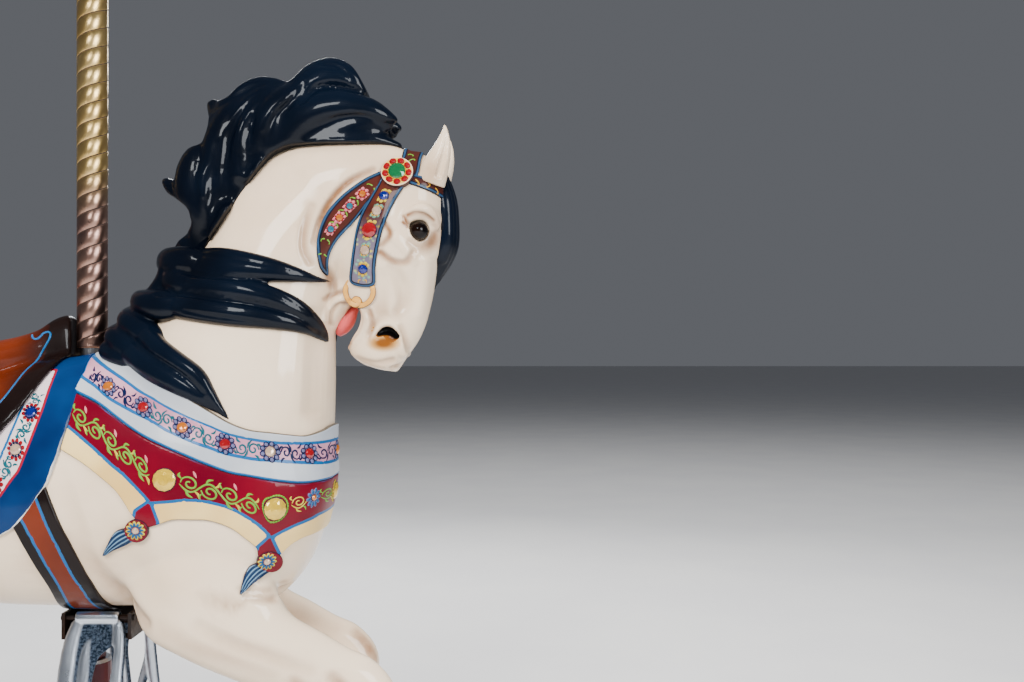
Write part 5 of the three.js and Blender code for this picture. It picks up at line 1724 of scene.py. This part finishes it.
LILAC_FOOT = line([
    [10, 964], [28, 952], [56, 938], [81, 921], [106, 908], [131, 896], [155, 885], [179, 871], [203, 860],
    [226, 850], [248, 842], [271, 833], [293, 827], [316, 822], [338, 819], [359, 816], [400, 810],
    [420, 808], [460, 808],
])
CRIMSON_FOOT = np.vstack([line(CRIMSON_SCALLOPS[a:b]) for a, b in ((0, 9), (8, 15), (14, None))])
COLLAR = np.vstack([COLLAR_FOOT, COLLAR_TOP[::-1], [[18, 998], [27, 960]]])
APRON = np.vstack([COLLAR_FOOT[::-1], [[26, 888]], APRON_FOOT])
CRIMSON = np.vstack([COLLAR_FOOT[::-1], CRIMSON_FOOT])


def inside_any(*outlines):
    """Signed distance of points to several outlines of the side view together."""
    return lambda points: np.max([inside(points[:, [0, 2]], o) for o in outlines], axis=0)


def off_pole(radius):
    """Distance of points from a round hole on the pole's axis."""
    return lambda points: np.hypot(points[:, 0], points[:, 1]) - radius


collar = relief(harness_skin, COLLAR, 7, 3, smooth=False, also=[off_pole(33)],
                fields={"lilac_top": above_line(LILAC_TOP), "lilac_foot": above_line(LILAC_FOOT)})
apron = relief(harness_skin, APRON, 6, 2.5, smooth=False,
               fields={"crimson": inside_any(CRIMSON, *CRIMSON_TABS)})
cloth = relief(harness_skin, line(SADDLE_CLOTH), 7, 3, smooth=False, also=[off_pole(34)],
               fields={"fore": lambda points: points[:, 2]})
girth = relief(harness_skin, line(GIRTH), 6, 3, smooth=False, also=[off_pole(40)])
for surface, name, colour, slot in (
        (collar, "breast_collar", collar_colour, "white_enamel"),
        (apron, "breast_apron", apron_colour, "crimson_enamel"),
        (cloth, "saddle_cloth", cloth_colour, "blue_enamel"),
        (girth, "girth", leather_colour(17, 1.9), "brown_enamel")):
    shown(f"carved_{name}", surface, gloss(f"{name}_enamel", colour), slot, name, share=0.4)

SADDLE_LINE = [
    [-84, 1026], [-79, 1020], [-73, 1019], [-69, 1023], [-65, 1029], [-59, 1031], [-55, 1027], [-57, 1017],
    [-64, 1001], [-71, 983], [-75, 966], [-79, 946], [-85, 928], [-94, 912], [-114, 884], [-140, 852],
    [-166, 829], [-191, 816], [-214, 815], [-235, 829], [-251, 861], [-266, 906], [-300, 955], [-340, 984],
]
SADDLE_SEAT = [
    [-12, 990, -12, 1030, 12, 0], [-22, 980, -24, 1051, 22, 0], [-38, 974, -40, 1061, 32, 0],
    [-60, 966, -60, 1054, 44, 0], [-84, 958, -84, 1036, 60, 0], [-130, 950, -130, 1021, 82, 0],
    [-190, 944, -190, 1013, 100, 0], [-250, 942, -250, 1019, 110, 0], [-300, 942, -302, 1036, 108, 0],
    [-330, 944, -336, 1050, 96, 0], [-346, 948, -352, 1046, 76, 0],
]


def inset_line(rows, by):
    """A line moved sideways by a distance, to the left of its way."""
    rows = line(rows)
    way = np.gradient(rows, axis=0)
    way /= np.linalg.norm(way, axis=1, keepdims=True)
    return (rows + by * np.stack([-way[:, 1], way[:, 0]], 1))[::5]


def upright(radius, low, high):
    """A round bar on the pole's axis."""
    angle = 2 * np.pi * np.arange(48) / 48
    return rings_closed(np.array([
        np.stack([radius * np.cos(angle), radius * np.sin(angle), np.full_like(angle, z)], 1)
        for z in (low, high)]))


def make_saddle():
    flap = line(SADDLE_FLAP)
    saddle = block([form(TRUNK, 64, grow=17), form(SADDLE_SEAT, 40, power=2.4)],
                   [form(TRUNK, 64, grow=7.4), upright(33, 800, 1200)], [plate(flap, -260, 260)], voxel=4.0)
    melt(saddle, 22, 0.03)
    saddle.fields = {"edge": inside(saddle.points[:, [0, 2]], flap)}
    shown("carved_saddle", saddle, gloss("saddle_enamel", leather_colour(36, 2, fade=(-0.13, -0.045))),
          "brown_enamel", "saddle", share=0.5)
    tree = saddle.tree()
    for side, name in SIDES:
        trim = Ornament()
        trim.paint([side_stroke(tree, [[x, z, 1.8] for x, z in SADDLE_LINE], side, "line")])
        trim.finish(f"{name}_saddle")


make_saddle()


def make_tassels():
    for which, ((x, z), tip) in TASSELS.items():
        lean = math.atan2(tip[1] - z, tip[0] - x)
        reach = math.hypot(tip[0] - x, tip[1] - z)
        local = lambda a, b: [x + a * math.cos(lean) - b * math.sin(lean),
                              z + a * math.sin(lean) + b * math.cos(lean)]
        widths = [(0, 9), (0.35, 13.5), (0.55, 11.5), (0.78, 6.5), (1.05, 0.5)]
        middle = lambda u: -5 * math.sin(math.pi * min(u, 1))
        fringe = [local(max(u * reach, 10), middle(u) + half) for u, half in widths] \
            + [local(max(u * reach, 10), middle(u) - half) for u, half in widths[-2::-1]]
        circle = [local(18.5 * math.cos(a), 18.5 * math.sin(a)) for a in np.arange(24) * math.pi / 12]
        for side, name in SIDES:
            def strand(points):
                flat = points[:, [0, 2]] - [x, z]
                a = flat @ [math.cos(lean), math.sin(lean)]
                u = np.clip(a / reach, 0, 1)
                b = flat @ [-math.sin(lean), math.cos(lean)] + 5 * np.sin(np.pi * u)
                half = np.interp(u, *zip(*widths))
                return 0.5 + 0.5 * np.sin(15 * b / (half + 2) + 2.2 * u)
            ridges = lambda edge, points: 1.6 * strand(points) + 3 * np.clip(edge / 10, 0, 1)
            hair = relief(harness_skin, fringe, 5, 1.6, finer=2, side=side, dome=ridges,
                          fields={"strand": strand, "disc": lambda points: np.full(len(points), -9.0)})
            disc = relief(harness_skin, circle, 9, 3, finer=1, side=side,
                          fields={"strand": strand, "disc": lambda points: np.full(len(points), 9.0)})
            shown(f"{name}_{which}_carved_tassel", joined([hair, disc]), TASSEL, "tassel_enamel",
                  f"{name}_{which}_tassel", share=0.6)
            trim = Ornament()
            point, normal = cast_side(disc.tree(), x, z, side)
            spot = on_plane(point, normal, np.array([math.cos(lean), 0, math.sin(lean)]))
            trim.set_jewel(spot, 5.6, "pearl",
                           [(12, 6.5, 16, "straw", 0.9, 1.0), (12, 5.5, 13.8, "blue", 1.4, 0.85)], rim="red")
            trim.finish(f"{name}_{which}_tassel")


make_tassels()

# Bridle.

STRAPS = {
    "crown": [
        [548, 1344], [546, 1322], [544, 1292], [572, 1290], [580, 1329], [586, 1380], [556, 1380],
    ],
    "cheek": [
        [514, 1300], [510, 1282], [497, 1257], [482, 1230], [473, 1202], [467, 1171], [463, 1144],
        [460, 1121], [464, 1113], [474, 1109], [486, 1107], [496, 1108], [503, 1114], [505, 1138],
        [509, 1164], [516, 1194], [524, 1218], [538, 1249], [556, 1281], [560, 1300],
    ],
    "throat": [
        [530, 1312], [514, 1303], [484, 1287], [447, 1258], [423, 1228], [411, 1198], [407, 1174],
        [408, 1151], [412, 1134], [419, 1126], [422, 1132], [426, 1158], [438, 1181], [458, 1205],
        [481, 1231], [503, 1255], [540, 1280],
    ],
    "brow": [
        [556, 1300], [572, 1296], [602, 1288], [625, 1278], [640, 1268], [640, 1246], [620, 1256],
        [596, 1268], [560, 1280],
    ],
}
STRAP_HEIGHTS = {"crown": 4.0, "cheek": 4.6, "throat": 3.4, "brow": 4.0}
straps = {}
for name, outline in STRAPS.items():
    laced = float(name == "cheek")
    straps[name] = relief(head, line(outline), STRAP_HEIGHTS[name], 1.6, finer=0, smooth=False,
                          fields={"lace": lambda points: np.full(len(points), laced)})
shown("carved_bridle", joined(list(straps.values())), gloss("bridle_enamel", strap_colour), "brown_enamel",
      "bridle", share=0.6)


ROSETTE = [541, 1298]
ROSETTE_PROFILE = (14, 8), (17, 8.8), (23, 9.6), (26.4, 9), (27.6, 7), (27.6, -6)


def make_rosette(side, name):
    point, _ = cast_side(head_tree, *ROSETTE, side)
    normal = np.array([0.0, side, 0.35])
    normal /= np.linalg.norm(normal)
    ahead = np.array([0.3, 0, 1.0])
    _, axes = framed(on_plane(point, normal, ahead))
    rings = [[[r * math.cos(a), r * math.sin(a), h] for a in np.arange(48) * math.pi / 24]
             for r, h in ROSETTE_PROFILE]
    disc = rings_closed(np.array(rings))
    disc.fields = {"rim": np.hypot(disc.points[:, 0], disc.points[:, 1])}
    disc.points = point + disc.points @ axes
    shown(f"{name}_rosette_disc", disc, ROSETTE_PAINT, "jewel_glass", f"{name}_rosette")
    trim = Ornament()
    top = point + 9.2 * normal
    trim.set_jewel(on_plane(top, normal, ahead), 14.6, "emerald", [(9, 14.6, 25.6, "red", 2.8, 0.94)], 0.42,
                   16, 1.5, "gold")
    trim.finish(f"{name}_rosette")


BIT_RING, RING_RADIUS = [475, 0, 1100], 24.5
BIT_BALL, BALL_RADIUS = [470, 1082], 10


def make_bit_ring(side, name):
    rows = []
    for i in range(48):
        a = 2 * math.pi * i / 48
        out = np.array([math.cos(a), 0, math.sin(a)])
        centre = BIT_RING + out * RING_RADIUS
        spot, _ = cast_side(head_tree, centre[0], centre[2], side)
        centre[1] = spot[1] + side * (2.5 - 6 * np.clip((centre[2] - 1105) / 7, 0, 1))
        c, s = oval(10, 3)
        rows.append([centre + out * 4.6 * c[j] + np.array([0, 1, 0]) * 3.4 * s[j] for j in range(10)])
    ring = hoop(np.array(rows))
    ring.fields["rim"] = np.tile(np.abs(c), 48)
    x, z = BIT_BALL
    spot, _ = cast_side(head_tree, x, z, side)
    ball_rows = []
    for i in range(1, 12):
        tilt = math.pi * i / 12
        reach = BALL_RADIUS * math.sin(tilt)
        ball_rows.append([[x + reach * math.cos(a), spot[1] + side * (3.5 + 6.5 * math.cos(tilt)),
                           z + reach * math.sin(a)] for a in np.arange(24) * math.pi / 12])
    ball = rings_closed(np.array(ball_rows))
    ball.fields["rim"] = np.linalg.norm(ball.points[:, [0, 2]] - BIT_BALL, axis=1) / BALL_RADIUS
    shown(f"{name}_gilt_bit_ring", joined([ring, ball]), GILT, "brass", f"{name}_bit_ring")


for side, name in SIDES:
    make_rosette(side, name)
    make_bit_ring(side, name)


# how far a scroll keeps from the middle of a flower
CLEAR = 17


def trim_collar():
    tree = collar.tree()
    for side, name in SIDES:
        band = ring_band(tree, LILAC_TOP, LILAC_FOOT, side, (0.04, 0.96))
        trim = Ornament()
        stations = [band.where_x(x) for x in (78, 141, 206, 273, 341, 397)]
        places = [stations[0] - 62, *stations, band.run[-1]]
        glasses = ["amber", "amber", "ruby", "amber", "ruby", "pearl", "ruby", "amber"]
        for k, (along, glass) in enumerate(zip(places, glasses)):
            if 0 < k and not (k == len(places) - 1 and name == "left"):
                trim.set_jewel(on_band(band, along), 8.6, glass,
                               [(9, 8, 18, "navy", 1.5, 1.15), (9, 9.4, 16.6, "slate", 2.3, 0.74)])
        for k, (a, b) in enumerate(zip(places[:-1], places[1:])):
            trim.paint(scroll(band, a + CLEAR, b - a - 2 * CLEAR, 17, "teal" if k in (2, 3, 4) else "navy",
                              -1 if k % 2 else 1, 1.6))
        trim.finish(f"{name}_collar")


def bud(band, along, across):
    """A small pointed bud."""
    lean, size = math.radians(60), 5.5
    rows = [[along + u * size * math.cos(lean), across + u * size * math.sin(lean), half]
            for u, half in ((-1, 0.5), (-0.3, 2.2), (0.4, 1.8), (1, 0.3))]
    return stroke(band, rows, "pink")


def trim_apron():
    tree = apron.tree()
    for side, name in SIDES:
        band = ring_band(tree, COLLAR_FOOT, CRIMSON_FOOT, side, (0.06, 0.94))
        trim = Ornament()
        x_at = band.where_x
        middle = band.run[-1]
        trim.set_jewel(on_band(band, x_at(183), 7), 18, "topaz", height=0.4)
        trim.set_jewel(on_band(band, x_at(351), 1), 18, "topaz", [(30, 19.6, 23, "leaf", 1.4, 1.2)], 0.4)
        for first, last, waves, down in ((26, 160, 5, 3), (206, 328, 4, 9)):
            start, end = x_at(first), x_at(last)
            trim.paint(vine(band, start, end, 18, "leaf", waves, 1.6, down))
            trim.paint([bud(band, start + (k + 0.75) * (end - start) / waves, down - 19)
                        for k in range(0, waves, 2)])
        blossom = x_at(405)
        trim.paint(vine(band, x_at(374), blossom - 16, 14, "straw", 1, 1.3, 0, "leaf"))
        trim.set_jewel(on_band(band, blossom, -2), 5, "amber",
                       [(10, 5, 17, "slate", 1.2, 1.0), (10, 6.5, 15.4, "blue", 1.9, 0.72)])
        trim.paint(vine(band, blossom + 17, middle - 19, 13, "leaf", 1, 1.3))
        if name == "right":
            trim.set_jewel(on_band(band, middle), 15, "topaz", [(18, 15.5, 20, "straw", 1.4, 1.0)], 0.4)
        trim.finish(f"{name}_apron")


def trim_cloth():
    edge = SADDLE_CLOTH[3:-2]
    tree = cloth.tree()
    for side, name in SIDES:
        band = side_band(tree, inset_line(edge, -52), inset_line(edge, -81), side, 120)
        trim = Ornament()
        step, along, k = 63, 36, 0
        trim.paint(scroll(band, 2, 20, 13, "teal", 1))
        while along < band.run[-1] - 10:
            trim.set_jewel(on_band(band, along), 8.8, ("sapphire", "pearl", "sapphire", "ruby")[k % 4],
                           [(11, 8.6, 17, "red", 1.5, 0.9), (11, 8.4, 12, "navy", 2.0, 0.95)])
            if along + step < band.run[-1]:
                trim.paint(scroll(band, along + CLEAR, step - 2 * CLEAR, 14, "teal", 1 if k % 2 else -1,
                                  1.6))
            along, k = along + step, k + 1
        trim.finish(f"{name}_cloth")


CHEEK_STRAP_BACK = [
    [527, 1282], [514, 1259], [501, 1230], [490, 1200], [483, 1168], [479, 1140], [477, 1114],
]
CHEEK_STRAP_FRONT = [
    [537, 1280], [524, 1256], [511, 1227], [500, 1199], [493, 1167], [489, 1140], [487, 1114],
]
THROAT_STRAP_BACK = [[512, 1287], [485, 1272], [460, 1248], [436, 1219], [420, 1192], [412, 1160]]
THROAT_STRAP_FRONT = [[518, 1278], [493, 1263], [468, 1240], [444, 1212], [429, 1188], [421, 1158]]
CHEEK_JEWELS = [
    (1259, 8, "sapphire", "straw"), (1233, 8, "pearl", "mint"), (1201, 12.8, "ruby", "straw"),
    (1167, 8, "pearl", "mint"), (1136, 8, "sapphire", "straw"),
]
THROAT_FLOWERS = (483, "amber", "pink"), (462, "aqua", "pink"), (445, "amber", "pink"), (431, "aqua", "pink")


def trim_bridle():
    for side, name in SIDES:
        cheek = side_band(straps["cheek"].tree(), CHEEK_STRAP_BACK, CHEEK_STRAP_FRONT, side, 70)
        throat = side_band(straps["throat"].tree(), THROAT_STRAP_BACK, THROAT_STRAP_FRONT, side, 60)
        brow = side_band(straps["brow"].tree(), [[566, 1290], [590, 1282], [612, 1274]],
                         [[566, 1284], [590, 1275], [612, 1266]], side, 30)
        crown = side_band(straps["crown"].tree(), [[556, 1316], [562, 1346]], [[566, 1316], [572, 1346]],
                          side, 20)
        trim = Ornament()
        down = lambda z: float(np.interp(-z, -cheek.points[:, 2, 2], cheek.run))
        for z, r, glass, lace in CHEEK_JEWELS:
            trim.set_jewel(on_band(cheek, down(z)), r, glass,
                           [(9, r - 0.5, r + 5.6, lace, 1.2, 0.95),
                            (12, r - 0.4, r + 2.4, "gold", 1.6, 0.8)])
            for edge in (-1, 1):
                for turn in (-1, 1):
                    rows = curl([down(z) + turn * (r + 2), edge * 9], 90 * edge - 25 * turn * edge, 9,
                                (edge * turn * 60, edge * turn * 420), 1.0)
                    trim.paint([stroke(cheek, rows, lace)])
        trim.paint([stroke(cheek, curl([down(1118), s * 3], 100 * s, 14, (-s * 60, -s * 400), 1.1), "gold")
                    for s in (-1, 1)])
        back = lambda x: float(np.interp(-x, -throat.points[:, 2, 0], throat.run))
        for x, glass, petal in THROAT_FLOWERS:
            trim.set_jewel(on_band(throat, back(x)), 5.6, glass,
                           [(8, 5, 12.4, petal, 1.3, 0.95), (9, 5, 7.8, "red", 1.7, 0.9)])
        for x in (501, 473, 454, 438, 423, 417):
            trim.paint([stroke(throat, curl([back(x), s * 2], 60 * s, 11, (s * 40, -s * 200), 1.5), "leaf")
                        for s in (-1, 1)])
        for band, colour, starts in ((brow, "gold", ((6, 1), (26, -1), (44, 1))),
                                     (crown, "leaf", ((3, 1), (18, -1)))):
            trim.paint([stroke(band, curl([a, -3 * f], 20 * f, 20, (f * 30, f * 330), 1.4), colour)
                        for a, f in starts])
        trim.finish(f"{name}_bridle")


trim_collar()
trim_apron()
trim_cloth()
trim_bridle()

# Hooves.

def make_hoof(coronet, drop, name):
    x, y, z = coronet
    slope = math.radians(drop)
    rows = [[x - back * math.cos(slope), y, z + back * math.sin(slope), deep, wide]
            for back, deep, wide in HOOF]
    hoof = block([limb(rows, 36)], voxel=3)
    along = (x - hoof.points[:, 0]) * math.cos(slope) + (hoof.points[:, 2] - z) * math.sin(slope)
    hoof.fields = {"along": along}
    shown(f"{name}_carved_hoof", hoof, HOOF_PAINT, "brown_enamel", f"{name}_hoof", share=0.5)


trail = lambda p, dx, dz: [p[0] + dx, -p[1], p[2] + dz]
make_hoof(FORE_CORONET, FORE_HOOF_DROP, "right_fore")
make_hoof(trail(FORE_CORONET, FORE_TRAIL, -LEG_DROP), FORE_HOOF_DROP, "left_fore")
make_hoof(HIND_CORONET, HIND_HOOF_DROP, "right_hind")
make_hoof(trail(HIND_CORONET, HIND_TRAIL, 0), HIND_HOOF_DROP, "left_hind")

# Pole.

# the plain rings at the sleeve's ends, as profiles of (radius, height)
FERRULES = (
    [(20, 1004), (22.5, 1004), (24.2, 1005.2), (24.9, 1007.5), (24.4, 1010), (20, 1010)],
    [(20, 2292), (25.0, 2292), (26.2, 2294), (26.2, 2299), (25.4, 2300), (20, 2300)],
)


def make_sleeve():
    """Brass drawn over the pole and twisted: two grooves wind up it, and the mesh follows them."""
    radius, lead, low, high, sides = 25.4, 62, 1006, 2296, 48
    steps = [0, 0.45, 0.9, 1.4, 2.2, 4, 9, 15.5, 22, 27, 28.8, 29.6, 30.1, 30.55]
    offsets = (np.arange(-3, 45)[:, None] * (lead / 2) + np.array(steps)[None]).ravel() + low
    depth = bell(np.minimum(*(np.array(steps), lead / 2 - np.array(steps))) / 1.5)
    depth = np.tile(depth, 48)
    angle = 2 * np.pi * np.arange(sides + 1) / sides
    z = offsets[:, None] + lead * angle[None] / (2 * np.pi)
    r = radius - 1.0 * depth[:, None] - 0.8 * bell((z - low) / 14)
    points = np.stack([r * np.cos(angle), r * np.sin(angle), z], -1)
    rows, columns = z.shape
    index = np.arange(rows * columns).reshape(rows, columns)
    quads = np.stack([index[:-1, :-1], index[:-1, 1:], index[1:, 1:], index[1:, :-1]], -1).reshape(-1, 4)
    sleeve = Surface(points.reshape(-1, 3), quads, {"groove": np.repeat(depth, columns)})
    sleeve = clipped(sleeve, sleeve.points[:, 2], low)
    sleeve = clipped(sleeve, -sleeve.points[:, 2], -high)
    pieces = [sleeve]
    for profile in FERRULES:
        ferrule = rings_closed(np.array([[[q * math.cos(a), q * math.sin(a), h] for a in angle[:-1]]
                                         for q, h in profile]))
        ferrule.fields = {"groove": np.zeros(len(ferrule.points))}
        pieces.append(ferrule)
    shown("twisted_sleeve", joined(pieces), BRASS, "brass", "brass_sleeve", share=0.5)


make_sleeve()

# Foot rests, in [x, drop] from the pin they hang on.

REST_PIN, REST_LEAN = (34, 56, 547), 13
REST_TREADS = (206, 51, 12), (408, 47, 17)
REST_RIBS = [
    # the two ribs of the rear leg, and the front leg: rows of [x, drop, half width, half depth]
    [[-30, 4, 9, 8], [-35, 16, 11, 9], [-41, 42, 13, 10], [-45, 92, 14, 10.5], [-47, 205, 14, 10.5],
     [-51, 390, 12, 10]],
    [[-8, 34, 5, 5], [-14, 52, 8, 7], [-16, 92, 10, 8.5], [-16, 205, 10, 8.5], [-24, 392, 9, 8]],
    [[30, 3, 7, 7], [36, 16, 10, 8], [39, 50, 11, 9], [39, 100, 11, 9], [42, 205, 10, 9], [48, 390, 11, 9]],
    [[40, 98, 8, 7], [24, 140, 7, 6.5], [2, 196, 7, 6.5]],
]
REST_WEB = [
    [-38, -4], [36, -4], [42, 30], [42, 95], [44, 205], [52, 392], [46, 408], [-50, 408], [-56, 392],
    [-50, 205], [-48, 95], [-46, 30],
]
REST_WINDOWS = [
    [[1, 184], [-2, 120], [-1, 94], [5, 68], [16, 56], [31, 46], [33, 60], [30, 100], [18, 140]],
    [[18, 198], [32, 152], [36, 198]],
    [[-14, 214], [-18, 380], [-10, 394], [30, 394], [38, 382], [34, 214]],
]


def make_foot_rest(side, name):
    down = lambda outline: smoothed([[x, -drop] for x, drop in outline], 3, closed=True)
    adds = [plate(down(REST_WEB), -4, 4), limb([[-38, 0, 0, 11, 10.6], [38, 0, 0, 11, 10.6]], 24)]
    adds += [limb([[x, 0, -drop, half, deep] for x, drop, half, deep in rib], 22, power=2.5)
             for rib in REST_RIBS]
    for drop, half, deep in REST_TREADS:
        adds.append(limb([[x, 0, -drop, 5.4, deep] for x in (-half, 0, half)], 24, power=4))
        adds += [limb([[x, y, 5.2 - drop, 1.5, 1.6] for x in (5 - half, half - 5)], 10)
                 for y in np.arange(4 - deep, deep - 2, 5)]
    pin = limb([[-70, 0, 0, 6, 6], [70, 0, 0, 6, 6]], 16)
    rest = block(adds, [pin, *(plate(down(w), -30, 30) for w in REST_WINDOWS)], voxel=2.4)
    melt(rest, 8, 0.04)
    rest.fields = {"web": np.clip((6.5 - np.abs(rest.points[:, 1])) / 2, 0, 1)}
    turn = math.radians(REST_LEAN * side)
    (x, y, z), (pin_x, pin_y, pin_z) = rest.points.T, REST_PIN
    rest.points = np.stack([x + pin_x, side * pin_y + y * math.cos(turn) - z * math.sin(turn),
                            pin_z + y * math.sin(turn) + z * math.cos(turn)], 1)
    shown(f"{name}_cast_foot_rest", rest, CASTING, "cast_aluminium", f"{name}_foot_rest",
          body=f"{name}_rest", share=0.5)


for side, name in SIDES:
    make_foot_rest(side, name)

# The solids that are seen as they are, with the paint or metal of each.
PLAIN_NODES = {
    "floor_flange": IRON, "floor_tube": MAROON, "lower_rod": MAROON, "guide_bush": STEEL, "pole": STEEL,
    "hanger_eye": STEEL, "belly_bracket": RUSTY,
}
for node, material in PLAIN_NODES.items():
    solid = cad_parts[node].data
    solid.materials.clear()
    solid.materials.append(material)


def lay_floor():
    mesh = bpy.data.meshes.new("studio_floor")
    mesh.from_pydata([(-60, -60, 0), (60, -60, 0), (60, 60, 0), (-60, 60, 0)], [], [(0, 1, 2, 3)])
    floor = placed("studio_floor", mesh)
    paint = Paint("floor_paint", Roughness=0.8)
    paint.wear(Base_Color=paint.mottled((0.60, 0.60, 0.60), (0.57, 0.57, 0.58), 2))
    mesh.materials.append(paint.material)


lay_floor()
